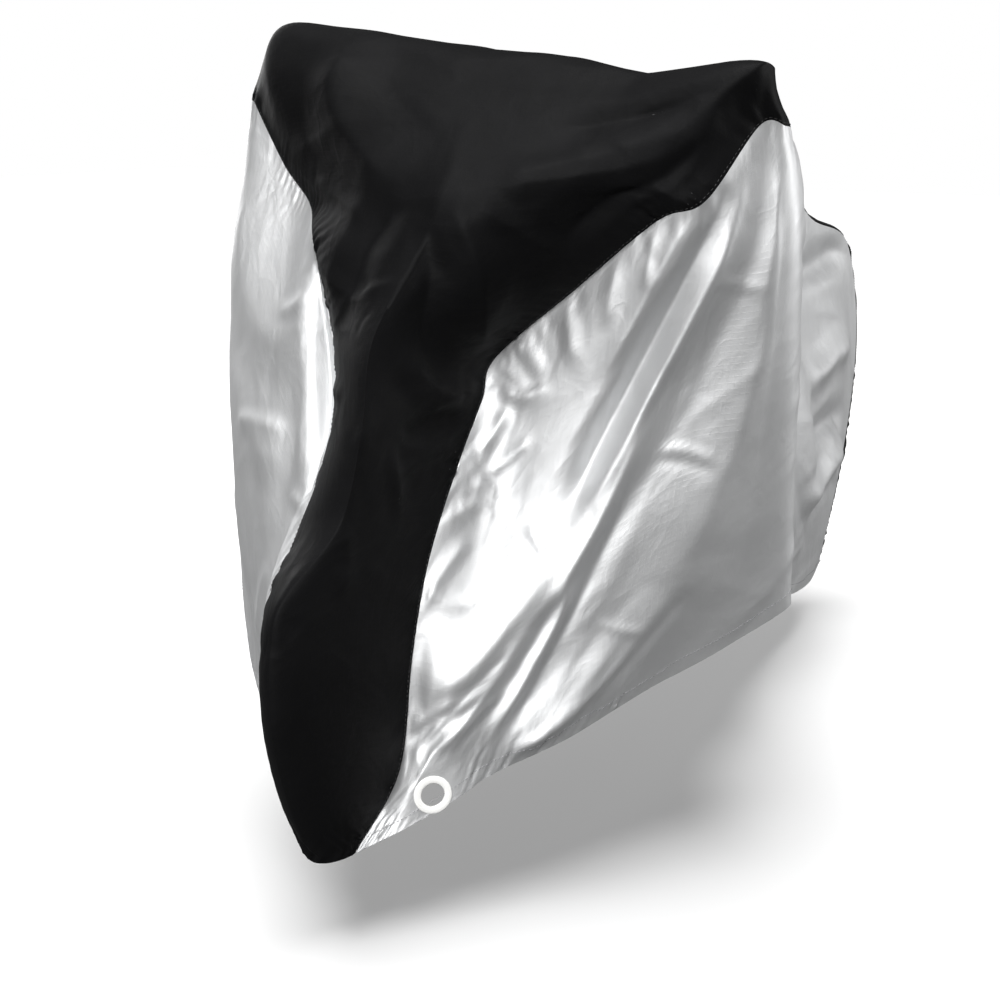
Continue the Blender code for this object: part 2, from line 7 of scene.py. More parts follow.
import bpy
import numpy as np
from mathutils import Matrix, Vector


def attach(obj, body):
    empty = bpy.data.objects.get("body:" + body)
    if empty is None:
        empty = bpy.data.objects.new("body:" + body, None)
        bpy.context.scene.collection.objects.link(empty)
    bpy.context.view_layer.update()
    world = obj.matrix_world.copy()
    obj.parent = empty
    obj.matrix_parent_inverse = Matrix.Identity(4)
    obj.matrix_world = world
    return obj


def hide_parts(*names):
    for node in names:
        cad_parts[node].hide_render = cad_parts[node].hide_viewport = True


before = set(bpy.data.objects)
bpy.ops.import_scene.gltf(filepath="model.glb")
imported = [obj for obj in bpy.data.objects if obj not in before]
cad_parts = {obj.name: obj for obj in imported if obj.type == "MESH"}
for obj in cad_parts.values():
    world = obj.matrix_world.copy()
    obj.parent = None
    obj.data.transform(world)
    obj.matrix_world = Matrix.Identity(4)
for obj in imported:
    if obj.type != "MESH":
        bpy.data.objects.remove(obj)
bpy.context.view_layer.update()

Array = np.ndarray
Place = tuple[float, float]
Point = tuple[float, float, float]

CARRIED_AT = np.array((0.035, 0.160, 1.050))    # the part's origin in the tables' places
GROUND = -1.050                                 # height of the ground under the part's origin


class Flank(Enum):
    """A side of the cover, as the sign of x on it."""

    LEFT = 1
    RIGHT = -1

    @property
    def word(self) -> str:
        """The side's name in its pieces' names."""
        return self.name.lower()


class Section(NamedTuple):
    """One section across the centre panel: crown, shoulders and the seams with the side panels."""

    right: Point
    crown: Point
    left: Point
    fullness: float
    roundness: float
    inward: float = 0.0
    right_lift: float = 0.0
    left_lift: float = 0.0


class Column(NamedTuple):
    """One column of a side panel: its place, the section it meets, its hem and its places on the way up."""

    at: float
    seam: float
    hem: Point
    low: Point
    high: Point


class Fold(NamedTuple):
    """A ridge, or a trough below zero, along a line through three places of a panel."""

    start: Place
    middle: Place
    end: Place
    left: float
    right: float
    height: float


SECTIONS: tuple[Section, ...] = (
    Section((-0.036, -0.135, 0.130), (0.004, -0.190, 0.122), (0.030, -0.145, 0.121), 0.85, 1.0),    # 0 hem
    Section((-0.042, -0.165, 0.215), (0.010, -0.238, 0.215), (0.047, -0.078, 0.200), 0.85, 1.0, 0.010),
    Section((-0.046, -0.205, 0.330), (0.014, -0.268, 0.335), (0.057, -0.058, 0.350), 0.85, 1.0, 0.030),
    Section((-0.050, -0.197, 0.425), (0.018, -0.258, 0.450), (0.061, -0.030, 0.455), 0.85, 1.0, 0.045),
    Section((-0.052, -0.125, 0.513), (0.050, -0.178, 0.545), (0.066, 0.028, 0.565), 0.80, 1.0, 0.035),
    Section((-0.066, -0.048, 0.600), (0.055, -0.145, 0.640), (0.072, 0.074, 0.640), 0.70, 1.0, 0.060),
    Section((-0.090, -0.005, 0.705), (0.040, -0.100, 0.735), (0.081, 0.094, 0.692), 0.55, 1.0, 0.045),
    Section((-0.142, 0.025, 0.824), (0.062, -0.055, 0.815), (0.180, 0.108, 0.777), 0.40, 1.0),
    Section((-0.200, 0.093, 0.862), (0.077, -0.020, 0.887), (0.280, 0.112, 0.859), 0.30, 0.9),      # 8 star
    Section((-0.265, 0.122, 0.910), (0.066, 0.040, 0.955), (0.338, 0.120, 0.885), 0.60, 0.8, 0.02, 0.02),
    Section((-0.330, 0.145, 0.986), (0.045, 0.100, 1.010), (0.372, 0.185, 0.966),
            0.90, 0.35, 0.050, 0.04, 0.00),
    Section((-0.345, 0.165, 0.985), (0.035, 0.160, 1.052), (0.390, 0.212, 0.964),
            1.00, 0.16, 0.056, 0.040, -0.008),
    Section((-0.332, 0.205, 0.985), (0.035, 0.215, 1.040), (0.380, 0.250, 0.960),
            0.95, 0.30, 0.052, 0.030, -0.01),
    Section((-0.190, 0.330, 0.930), (0.034, 0.330, 1.000), (0.235, 0.350, 0.925), 0.80, 0.8),       # 13
    Section((-0.090, 0.600, 0.880), (0.030, 0.600, 0.930), (0.135, 0.610, 0.880), 0.80, 1.0),
    Section((-0.080, 0.860, 0.895), (0.025, 0.860, 0.945), (0.115, 0.860, 0.890), 0.85, 1.0),       # 15 hump
    Section((-0.072, 1.060, 0.780), (0.022, 1.060, 0.820), (0.105, 1.060, 0.795), 0.80, 1.0),
    Section((-0.066, 1.300, 0.680), (0.018, 1.320, 0.730), (0.092, 1.300, 0.725), 0.90, 1.0),
    Section((-0.062, 1.400, 0.520), (0.014, 1.450, 0.520), (0.084, 1.400, 0.520), 0.85, 1.0),       # 18 tail
    Section((-0.060, 1.370, 0.320), (0.012, 1.430, 0.310), (0.080, 1.370, 0.310), 0.85, 1.0),
    Section((-0.050, 1.260, 0.140), (0.010, 1.310, 0.130), (0.080, 1.270, 0.115), 0.85, 1.0),       # 20 hem
)
NECK, REAR_NECK, REAR_HEM = 6, 18, 20           # the sections where a side panel's seam turns or ends

LEFT_COLUMNS: tuple[Column, ...] = (
    Column(0.00, 6.0, (0.030, -0.145, 0.121), (0.058, -0.058, 0.330), (0.066, 0.020, 0.550)),
    Column(0.10, 6.6, (0.088, -0.086, 0.156), (0.108, -0.025, 0.346), (0.105, 0.060, 0.540)),
    Column(0.20, 7.4, (0.133, -0.014, 0.193), (0.156, 0.021, 0.388), (0.160, 0.085, 0.580)),
    Column(0.30, 8.2, (0.188, 0.071, 0.227), (0.226, 0.089, 0.444), (0.245, 0.125, 0.650)),
    Column(0.40, 9.2, (0.249, 0.161, 0.267), (0.290, 0.159, 0.497), (0.320, 0.165, 0.720)),
    Column(0.48, 10.2, (0.315, 0.265, 0.306), (0.345, 0.240, 0.520), (0.370, 0.215, 0.750)),
    Column(0.53, 11.0, (0.372, 0.340, 0.350), (0.382, 0.295, 0.560), (0.386, 0.252, 0.770)),
    Column(0.58, 11.6, (0.350, 0.390, 0.345), (0.360, 0.370, 0.560), (0.365, 0.330, 0.770)),
    Column(0.66, 12.8, (0.270, 0.520, 0.300), (0.280, 0.500, 0.510), (0.265, 0.440, 0.730)),
    Column(0.75, 14.2, (0.190, 0.780, 0.220), (0.200, 0.760, 0.430), (0.170, 0.700, 0.670)),
    Column(0.84, 15.4, (0.130, 1.000, 0.140), (0.150, 1.020, 0.370), (0.130, 1.000, 0.600)),
    Column(0.93, 17.0, (0.105, 1.160, 0.115), (0.120, 1.220, 0.330), (0.112, 1.230, 0.540)),
    Column(1.00, 18.0, (0.080, 1.270, 0.115), (0.080, 1.350, 0.300), (0.082, 1.380, 0.430)),
)
RIGHT_COLUMNS: tuple[Column, ...] = (
    Column(0.00, 6.0, (-0.036, -0.135, 0.130), (-0.046, -0.205, 0.330), (-0.055, -0.110, 0.530)),
    Column(0.10, 6.6, (-0.095, -0.115, 0.165), (-0.106, -0.130, 0.370), (-0.106, -0.061, 0.562)),
    Column(0.22, 7.6, (-0.160, -0.080, 0.235), (-0.174, -0.070, 0.430), (-0.174, -0.025, 0.630)),
    Column(0.34, 8.6, (-0.235, -0.022, 0.300), (-0.248, -0.006, 0.500), (-0.252, 0.034, 0.710)),
    Column(0.44, 9.6, (-0.296, 0.048, 0.370), (-0.314, 0.058, 0.560), (-0.318, 0.092, 0.770)),
    Column(0.50, 10.8, (-0.318, 0.112, 0.395), (-0.338, 0.104, 0.590), (-0.342, 0.124, 0.790)),
    Column(0.56, 11.8, (-0.316, 0.180, 0.395), (-0.332, 0.180, 0.590), (-0.336, 0.190, 0.780)),
    Column(0.66, 12.8, (-0.270, 0.400, 0.340), (-0.270, 0.400, 0.530), (-0.240, 0.370, 0.740)),
    Column(0.75, 14.2, (-0.180, 0.760, 0.240), (-0.180, 0.740, 0.440), (-0.140, 0.690, 0.670)),
    Column(0.84, 15.4, (-0.110, 1.000, 0.150), (-0.130, 1.020, 0.370), (-0.110, 1.000, 0.600)),
    Column(0.93, 17.0, (-0.080, 1.150, 0.130), (-0.100, 1.220, 0.330), (-0.090, 1.230, 0.540)),
    Column(1.00, 18.0, (-0.050, 1.260, 0.140), (-0.060, 1.350, 0.300), (-0.062, 1.380, 0.430)),
)

# The solids' own folds
CENTRE_FOLDS: tuple[Fold, ...] = (
    Fold((10.6, -0.45), (9.2, -0.42), (7.9, -0.15), 0.070, 0.070, 0.020),       # right peak to the star
    Fold((8.05, 0.02), (7.0, 0.40), (5.9, 0.97), 0.055, 0.060, 0.016),          # star down to the neck
    Fold((7.95, 0.00), (6.7, 0.20), (5.0, 0.94), 0.040, 0.040, -0.008),         # foot of the bright wedge
    Fold((7.95, 0.02), (8.75, 0.55), (9.95, 0.92), 0.060, 0.050, 0.014),         # star to the left peak
    Fold((7.2, 0.72), (8.5, 0.73), (9.9, 0.93), 0.050, 0.050, -0.014),          # hollow over the seam
    Fold((9.3, 0.30), (9.6, 0.48), (9.85, 0.70), 0.035, 0.040, -0.010),        # hollow under the cross ridge
    Fold((8.0, -0.20), (7.1, -0.35), (6.1, -0.45), 0.050, 0.050, -0.010),       # hollow beside the star
    Fold((5.9, 0.35), (5.4, 0.65), (4.85, 0.95), 0.050, 0.040, 0.012),          # fold at the neck
    Fold((4.85, 0.95), (4.85, 0.70), (4.6, 0.45), 0.035, 0.035, -0.010),        # crease under it
    Fold((9.8, 0.45), (11.1, 0.46), (12.5, 0.53), 0.220, 0.220, -0.026),        # dip in the cross ridge
    Fold((11.9, 0.10), (13.5, 0.15), (14.8, 0.00), 0.060, 0.060, 0.012),        # ridge back to the hump
    Fold((12.0, -0.60), (12.9, -0.50), (14.0, -0.40), 0.060, 0.050, -0.012),  # hollow behind the cross ridge
)
LEFT_FOLDS: tuple[Fold, ...] = (
    Fold((0.49, 0.97), (0.465, 0.56), (0.39, 0.15), 0.150, 0.080, 0.024),  # edge of the face under the peak
    Fold((0.43, 0.28), (0.35, 0.10), (0.23, 0.02), 0.090, 0.060, 0.014),  # the same edge down to the hem
    Fold((0.45, 0.98), (0.34, 0.66), (0.23, 0.38), 0.045, 0.024, 0.016),        # bright band
    Fold((0.37, 0.97), (0.26, 0.76), (0.21, 0.52), 0.040, 0.080, 0.011),        # grey band beside it
    Fold((0.26, 0.45), (0.16, 0.32), (0.01, 0.27), 0.028, 0.110, 0.016),        # foot of the bright face
    Fold((0.34, 0.62), (0.27, 0.40), (0.11, 0.15), 0.020, 0.018, 0.008),        # long folds to the hem
    Fold((0.33, 0.54), (0.29, 0.32), (0.21, 0.05), 0.026, 0.020, -0.008),
    Fold((0.27, 0.38), (0.245, 0.24), (0.18, 0.07), 0.018, 0.018, 0.008),
    Fold((0.36, 0.18), (0.29, 0.08), (0.22, 0.02), 0.020, 0.040, 0.010),        # bright wedge at the hem
    Fold((0.60, 0.97), (0.66, 0.55), (0.72, 0.00), 0.100, 0.100, 0.020),        # behind the peak
    Fold((0.78, 0.97), (0.80, 0.60), (0.84, 0.10), 0.080, 0.080, 0.018),        # under the hump
    Fold((0.93, 0.97), (0.88, 0.87), (0.81, 0.74), 0.036, 0.060, -0.020),       # hollow under the hump
    Fold((0.96, 0.80), (0.89, 0.62), (0.81, 0.56), 0.045, 0.050, 0.022),        # fin over the tail
    Fold((0.97, 0.62), (0.91, 0.47), (0.82, 0.42), 0.032, 0.050, -0.018),       # hollow under it
    Fold((0.96, 0.46), (0.88, 0.32), (0.80, 0.24), 0.040, 0.045, 0.020),        # lower fold
)
RIGHT_FOLDS: tuple[Fold, ...] = (
    Fold((0.24, 0.94), (0.10, 0.82), (0.05, 0.45), 0.050, 0.050, 0.003),        # from the neck down
    Fold((0.46, 0.95), (0.36, 0.70), (0.12, 0.90), 0.080, 0.060, 0.012),        # V under the peak
    Fold((0.40, 0.60), (0.25, 0.55), (0.10, 0.74), 0.060, 0.050, 0.008),
    Fold((0.45, 0.80), (0.40, 0.50), (0.20, 0.10), 0.080, 0.060, 0.010),        # long fold to the hem
    Fold((0.60, 0.97), (0.66, 0.55), (0.70, 0.00), 0.100, 0.100, 0.020),        # behind the peak
    Fold((0.78, 0.97), (0.80, 0.60), (0.86, 0.10), 0.080, 0.080, 0.016),        # under the hump
    Fold((0.96, 0.90), (0.90, 0.60), (0.88, 0.30), 0.060, 0.060, 0.014),        # over the tail
)

# The finer creases, which only this file has
CENTRE_CREASES: tuple[Fold, ...] = (
    Fold((5.00, 0.38), (4.55, 0.73), (4.82, 0.99), 0.016, 0.020, 0.0045),       # neck gathers
    Fold((4.77, 0.47), (4.33, 0.53), (3.58, 0.75), 0.018, 0.020, 0.0040),
    Fold((4.30, 0.95), (4.38, 0.76), (4.30, 0.54), 0.014, 0.016, 0.0030),
    Fold((5.30, 0.98), (5.20, 0.80), (4.95, 0.62), 0.014, 0.014, 0.0030),
    Fold((3.95, 0.08), (3.52, 0.40), (3.04, 0.54), 0.024, 0.020, 0.0030),
    Fold((10.90, 0.80), (10.22, 0.92), (9.80, 0.995), 0.016, 0.022, 0.0045),    # edge of the peak's facet
    Fold((8.18, 0.18), (8.98, 0.49), (9.72, 0.82), 0.032, 0.034, 0.0050),  # streaks under the cross ridge
    Fold((9.53, 0.48), (9.82, 0.60), (10.17, 0.72), 0.026, 0.030, -0.0040),
    Fold((7.35, 0.83), (8.38, 0.83), (9.52, 0.91), 0.024, 0.026, 0.0040),
    Fold((8.60, -0.72), (8.05, -0.60), (7.55, -0.35), 0.026, 0.030, 0.0050),
    Fold((6.90, -0.90), (6.60, -0.60), (6.45, -0.25), 0.022, 0.024, 0.0040),
    Fold((5.60, -0.95), (5.45, -0.70), (5.40, -0.40), 0.018, 0.020, 0.0035),
    Fold((8.00, 0.10), (7.60, 0.45), (7.30, 0.80), 0.026, 0.022, 0.0045),
)
LEFT_CREASES: tuple[Fold, ...] = (
    Fold((0.430, 0.990), (0.300, 0.710), (0.250, 0.510), 0.030, 0.020, -0.0090),  # between the two bands
    Fold((0.450, 0.990), (0.335, 0.670), (0.270, 0.480), 0.014, 0.030, 0.0080),  # far edge of the bright one
    Fold((0.360, 0.990), (0.300, 0.880), (0.250, 0.750), 0.014, 0.018, 0.0040),     # thin stripe
    Fold((0.510, 0.930), (0.480, 0.820), (0.460, 0.650), 0.016, 0.024, 0.0040),     # streak under the peak
    Fold((0.340, 0.630), (0.290, 0.450), (0.230, 0.290), 0.012, 0.014, 0.0040),     # long thin ridges
    Fold((0.230, 0.290), (0.160, 0.210), (0.080, 0.130), 0.013, 0.016, 0.0045),
    Fold((0.260, 0.350), (0.250, 0.260), (0.180, 0.070), 0.012, 0.013, 0.0040),
    Fold((0.380, 0.140), (0.300, 0.070), (0.220, 0.030), 0.024, 0.013, 0.0050),     # wedge at the hem
    Fold((0.430, 0.200), (0.390, 0.120), (0.340, 0.060), 0.016, 0.022, -0.0040),
    Fold((0.170, 0.240), (0.080, 0.210), (0.005, 0.180), 0.012, 0.018, 0.0050),     # fan above the eyelet
    Fold((0.130, 0.250), (0.050, 0.240), (0.005, 0.230), 0.012, 0.016, 0.0040),
    Fold((0.200, 0.190), (0.150, 0.170), (0.110, 0.110), 0.012, 0.014, 0.0040),
    Fold((0.140, 0.180), (0.090, 0.160), (0.030, 0.110), 0.012, 0.014, 0.0040),
    Fold((0.040, 0.880), (0.110, 0.840), (0.160, 0.830), 0.012, 0.020, 0.0055),  # curved crease below it
    Fold((0.080, 0.830), (0.060, 0.770), (0.030, 0.700), 0.016, 0.014, 0.0040),
    Fold((0.160, 0.730), (0.110, 0.720), (0.070, 0.680), 0.012, 0.016, 0.0040),
    Fold((0.050, 0.650), (0.070, 0.660), (0.110, 0.640), 0.012, 0.016, 0.0040),
    Fold((0.010, 0.560), (0.060, 0.620), (0.110, 0.600), 0.014, 0.018, 0.0045),
    Fold((0.190, 0.530), (0.210, 0.490), (0.230, 0.430), 0.012, 0.012, 0.0040),
    Fold((0.010, 0.410), (0.030, 0.490), (0.070, 0.570), 0.018, 0.016, 0.0045),
    Fold((0.010, 0.460), (0.070, 0.440), (0.140, 0.470), 0.014, 0.018, 0.0035),
    Fold((0.060, 0.985), (0.100, 0.930), (0.140, 0.850), 0.018, 0.022, 0.0040),     # puckers from the seam
    Fold((0.040, 0.940), (0.080, 0.890), (0.120, 0.840), 0.016, 0.020, 0.0030),
    Fold((0.140, 0.985), (0.170, 0.910), (0.200, 0.830), 0.020, 0.018, 0.0035),
    Fold((0.220, 0.985), (0.230, 0.920), (0.240, 0.860), 0.016, 0.018, 0.0030),
    Fold((0.283, 0.985), (0.285, 0.930), (0.290, 0.880), 0.014, 0.016, 0.0030),
    Fold((0.405, 0.799), (0.430, 0.760), (0.470, 0.725), 0.012, 0.014, 0.0026),     # packing creases
    Fold((0.355, 0.505), (0.400, 0.470), (0.440, 0.430), 0.010, 0.014, 0.0028),
    Fold((0.350, 0.490), (0.395, 0.450), (0.430, 0.420), 0.010, 0.012, -0.0018),
    Fold((0.320, 0.220), (0.350, 0.180), (0.385, 0.150), 0.010, 0.013, 0.0028),
)
RIGHT_CREASES: tuple[Fold, ...] = (
    Fold((0.260, 0.800), (0.180, 0.870), (0.110, 0.960), 0.022, 0.018, 0.0040),
    Fold((0.200, 0.960), (0.060, 0.930), (0.022, 0.640), 0.036, 0.034, -0.0120),    # hollow beside the neck
    Fold((0.350, 0.460), (0.240, 0.600), (0.150, 0.680), 0.018, 0.028, 0.0045),
    Fold((0.030, 0.700), (0.075, 0.560), (0.100, 0.400), 0.030, 0.030, -0.0040),
    Fold((0.070, 0.780), (0.030, 0.780), (0.005, 0.770), 0.014, 0.014, 0.0030),
    Fold((0.130, 0.590), (0.050, 0.660), (0.005, 0.700), 0.016, 0.016, 0.0035),
    Fold((0.136, 0.445), (0.180, 0.300), (0.217, 0.164), 0.022, 0.022, 0.0030),
)


def unit(vectors: Array) -> Array:
    """Return the vectors at length 1."""
    return vectors / np.maximum(np.linalg.norm(vectors, axis=-1, keepdims=True), 1e-12)


def ease(x: Array) -> Array:
    """Return the rise from 0 to 1 that starts and ends level: three squares less two cubes."""
    x = np.clip(x, 0, 1)
    return x * x * (3 - 2 * x)


def smooth_rows(knots: Array, rows: Array, at: Array) -> Array:
    """Run one smooth curve through rows of numbers.

    Between two rows the curve is the cubic that has both rows' values and both rows' slopes.

    Args:
        knots: The place of each row, rising.
        rows: The rows, one a knot.
        at: The places to read, of any shape.

    Returns:
        The curve's values, with the shape of ``at`` and a row's length.
    """
    slopes = np.gradient(rows, knots, axis=0)
    k = np.clip(np.searchsorted(knots, at, side="right") - 1, 0, len(knots) - 2)
    span = (knots[k + 1] - knots[k])[..., None]
    t = (at - knots[k])[..., None] / span
    return ((2 * t**3 - 3 * t**2 + 1) * rows[k] + (t**3 - 2 * t**2 + t) * span * slopes[k]
            + (3 * t**2 - 2 * t**3) * rows[k + 1] + (t**3 - t**2) * span * slopes[k + 1])


def wander(place: Array, seed: int, waves: int = 7) -> Array:
    """Return a smooth uneven signal of about one wave a unit: a sum of sines of seeded lengths and phases.

    Args:
        place: Places on a line or a plane, of any shape, in waves.
        seed: Picks the lengths and phases.
        waves: How many sines are added.

    Returns:
        The signal at each place, about -1 to 1.
    """
    dice = np.random.default_rng(seed)
    rates = dice.uniform(0.45, 1.7, waves) * 2 * math.pi
    phases = dice.uniform(0, 2 * math.pi, waves)
    return sum(np.sin(place * rate + phase) for rate, phase in zip(rates, phases)) / math.sqrt(waves)


def outward(points: Array, hand: int) -> Array:
    """Return a grid's outward normals: the cross product of its two runs, times its hand."""
    return hand * unit(np.cross(np.gradient(points, axis=0), np.gradient(points, axis=1)))


def softened(rise: Array, times: int) -> Array:
    """Return heights averaged with the grid's neighbours: a quarter, a half and a quarter, each way."""
    for _ in range(times):
        for axis in (0, 1):
            wide = np.pad(rise, [(1, 1) if axis == k else (0, 0) for k in (0, 1)], mode="edge")
            count = rise.shape[axis]
            before, after = (wide.take(np.arange(start, start + count), axis=axis) for start in (0, 2))
            rise = rise / 2 + (before + after) / 4
    return rise


class Nearness(NamedTuple):
    """Where points lie beside a line: how far off, and how far along it."""

    distance: Array
    along: Array


def off_run(points: Array, start: Array, end: Array) -> tuple[Array, Array]:
    """Return how far along a straight run each point's nearest place is, as a share, and the way from it."""
    run = end - start
    t = np.clip((points - start) @ run / max(float(run @ run), 1e-12), 0, 1)
    return t, points - start - t[..., None] * run


def beside(points: Array, line: Array) -> Nearness:
    """Measure points against a line of straight runs.

    Args:
        points: The points, of any shape, with x, y and z last.
        line: The line's own points, one a row.

    Returns:
        The nearest run's measures for each point.
    """
    best = np.full(points.shape[:-1], np.inf)
    along = np.zeros(best.shape)
    for k, (start, end) in enumerate(zip(line[:-1], line[1:])):
        t, off = off_run(points, start, end)
        distance = np.linalg.norm(off, axis=-1)
        along = np.where(distance < best, (k + t) / (len(line) - 1), along)
        best = np.minimum(best, distance)
    return Nearness(best, along)


@dataclass(frozen=True)
class CentreSurface:
    """The centre panel's surface: a section number and a place across it give a point."""

    sections: Sequence[Section] = SECTIONS

    def point(self, section: Array, across: Array) -> Array:
        """Find points of the panel.

        The section's numbers come from the smooth curve through the sections, by their reach along the crown.
        Across it runs from the crown straight towards the shoulder, round the shoulder as a bent-over corner,
        and straight on to the seam.

        Args:
            section: The section number, 0 at the front hem and 20 at the rear hem.
            across: -1 at the right seam, 0 at the crown and 1 at the left seam.

        Returns:
            The points, with x, y and z last.
        """
        rows = np.array([[*s.right, *s.crown, *s.left, *s[3:]] for s in self.sections])
        reach = np.append(0, np.cumsum(np.linalg.norm(np.diff(rows[:, 3:6], axis=0), axis=1)))
        row = smooth_rows(reach, rows, np.interp(section, np.arange(len(reach)), reach))
        right, crown, left = row[..., 0:3], row[..., 3:6], row[..., 6:9]
        fullness, roundness, inward, right_lift, left_lift = (row[..., k] for k in range(9, 14))
        on_right = across < 0
        seam = np.where(on_right[..., None], right, left)
        square = np.stack([seam[..., 0] + np.where(on_right, inward, 0), crown[..., 1],
                           crown[..., 2] + np.where(on_right, right_lift, left_lift)], axis=-1)
        chord = (crown + seam) / 2
        shoulder = chord + (square - chord) * fullness[..., None]
        first = np.linalg.norm(shoulder - crown, axis=-1)
        second = np.linalg.norm(seam - shoulder, axis=-1)
        gone = np.abs(across) * (first + second)
        bend = roundness * (first + second)
        run = (1 - roundness) * first
        t = np.clip((gone - run) / bend, 0, 1)[..., None]
        begin = shoulder + (crown - shoulder) * roundness[..., None]
        end = shoulder + (seam - shoulder) * roundness[..., None]
        before = np.clip(run - gone, 0, None) / first
        after = np.clip(gone - run - bend, 0, None) / second
        return ((1 - t) ** 2 * begin + 2 * t * (1 - t) * shoulder + t**2 * end
                + (crown - shoulder) * before[..., None] + (seam - shoulder) * after[..., None])


@dataclass(frozen=True)
class SideSurface:
    """A side panel's surface: a place along it and a height up it give a point."""

    columns: Sequence[Column]
    flank: Flank
    centre: CentreSurface = CentreSurface()
    bend_in: float = 0.12       # share of the panel over which an end bends onto its seam

    def _rows(self, at: Array) -> Array:
        """Return the column numbers at places along the panel."""
        return smooth_rows(np.array([c.at for c in self.columns]),
                           np.array([[c.seam, *c.hem, *c.low, *c.high] for c in self.columns]), at)

    def seam_section(self, at: Array) -> Array:
        """Return the centre panel's section that meets each place along the top seam."""
        return self._rows(at)[..., 0]

    def _through_columns(self, at: Array, height: Array) -> Array:
        """Return points on the smooth curve up each column: hem, a third, two thirds and seam."""
        row = self._rows(at)
        top = self.centre.point(row[..., 0], np.full(np.shape(at), float(self.flank.value)))
        posts = np.stack([row[..., 1:4], row[..., 4:7], row[..., 7:10], top])
        slopes = np.gradient(posts, np.array([0, 1 / 3, 2 / 3, 1]), axis=0)
        k = np.clip(np.floor(height * 3).astype(int), 0, 2)
        t = (height * 3 - k)[..., None]

        def pick(values: Array, level: Array) -> Array:
            """Return each point's own level of the four."""
            return np.take_along_axis(values, level[None, ..., None], axis=0)[0]

        return ((2 * t**3 - 3 * t**2 + 1) * pick(posts, k) + (t**3 - 2 * t**2 + t) / 3 * pick(slopes, k)
                + (3 * t**2 - 2 * t**3) * pick(posts, k + 1) + (t**3 - t**2) / 3 * pick(slopes, k + 1))

    def point(self, at: Array, height: Array) -> Array:
        """Find points of the panel, whose two ends bend onto the centre panel's seams.

        Args:
            at: 0 at the front seam and 1 at the rear seam.
            height: 0 at the hem and 1 at the top seam.

        Returns:
            The points, with x, y and z last.
        """
        points = self._through_columns(at, height)
        for end, hem, top in ((0.0, 0, NECK), (1.0, REAR_HEM, REAR_NECK)):
            onto = np.full(np.shape(height), float(self.flank.value))
            seam = self.centre.point(hem + (top - hem) * height, onto)
            miss = seam - self._through_columns(np.full(np.shape(height), end), height)
            points = points + miss * ease(1 - np.abs(at - end) / self.bend_in)[..., None]
        return points


@dataclass(frozen=True)
class Crinkles:
    """Many small creases of seeded places and turns over part of a panel."""

    seed: int
    count: int
    low: Place                  # the corner of the part where both places are least
    high: Place
    lean: Place                 # the run of an average crease, in the panel's places
    spread: float               # how far a crease's run turns from it, as a share
    height: float
    width: float

    def folds(self, later: int = 0) -> tuple[Fold, ...]:
        """Return the creases as folds, each a short bowed line about its own middle.

        Args:
            later: Added to the seed, for a second panel's own creases.

        Returns:
            The folds.
        """
        dice = np.random.default_rng(self.seed + later)
        low, high, lean = (np.array(v) for v in (self.low, self.high, self.lean))
        made = []
        for _ in range(self.count):
            middle = dice.uniform(low, high)
            half = lean * dice.uniform(0.3, 1.0) / 2
            half = half + np.array((-half[1], half[0])) * dice.uniform(-1, 1) * self.spread
            bow = np.array((-half[1], half[0])) * dice.uniform(-0.3, 0.3)
            size = dice.uniform(0.4, 1.0)
            sign = 1 if dice.uniform() < 0.6 else -1
            made.append(Fold(tuple(middle - half), tuple(middle + bow), tuple(middle + half),
                             self.width * dice.uniform(0.6, 1.4), self.width * dice.uniform(0.6, 1.4),
                             sign * size * self.height))
        return tuple(made)


CENTRE_CRINKLES: tuple[Crinkles, ...] = (
    Crinkles(11, 46, (2.5, -0.95), (8.5, 0.95), (0.5, 0.16), 1.2, 0.0016, 0.018),       # nose, neck and star
    Crinkles(12, 40, (8.0, -0.8), (12.5, 0.9), (0.9, 0.22), 1.2, 0.0018, 0.024),        # cross ridge
    Crinkles(13, 50, (12.5, -0.9), (19.5, 0.9), (0.9, 0.3), 1.2, 0.0030, 0.020),        # hump and tail
)
SIDE_CRINKLES: tuple[Crinkles, ...] = (
    Crinkles(50, 34, (0.0, 0.25), (0.26, 0.97), (0.10, 0.14), 0.9, 0.0010, 0.017),      # front face
    Crinkles(51, 40, (0.0, 0.02), (0.30, 0.28), (0.07, 0.09), 0.6, 0.0012, 0.013),      # front of the hem
    Crinkles(52, 22, (0.28, 0.05), (0.55, 0.95), (0.03, 0.22), 0.8, 0.0010, 0.022),     # under the peak
    Crinkles(53, 60, (0.55, 0.03), (1.0, 0.97), (0.06, 0.22), 0.9, 0.0028, 0.026),      # behind the peak
)


@dataclass(frozen=True)
class Gathers:
    """Ripples beside an edge that a seam or elastic draws together."""

    wave: float                 # a ripple's usual length
    depth: float                # the distance over which they die out
    height: float               # how far they rise at most
    start: float = 0.006        # the distance over which they rise from the edge
    stretch: float = 0.22       # how far apart the strong stretches are
    bend: float = 0.03          # how far apart a ripple's own bends are

    def rise(self, along: Array, away: Array, seed: int) -> Array:
        """Work out the ripples: an uneven wave, strongest a little in from the edge, that fades away from it.

        Args:
            along: Each point's reach along the edge, in metres.
            away: Its distance from the edge.
            seed: Picks the ripples.

        Returns:
            The rise of each point.
        """
        strength = 0.35 + 0.65 * ease(wander(along / self.stretch, seed + 1) * 0.5 + 0.5)
        swell = ease(away / self.start) * np.exp(-((away / self.depth) ** 1.3))
        sway = 0.15 * wander(away / self.bend, seed + 2)
        return self.height * strength * swell * wander(along / self.wave + sway, seed)


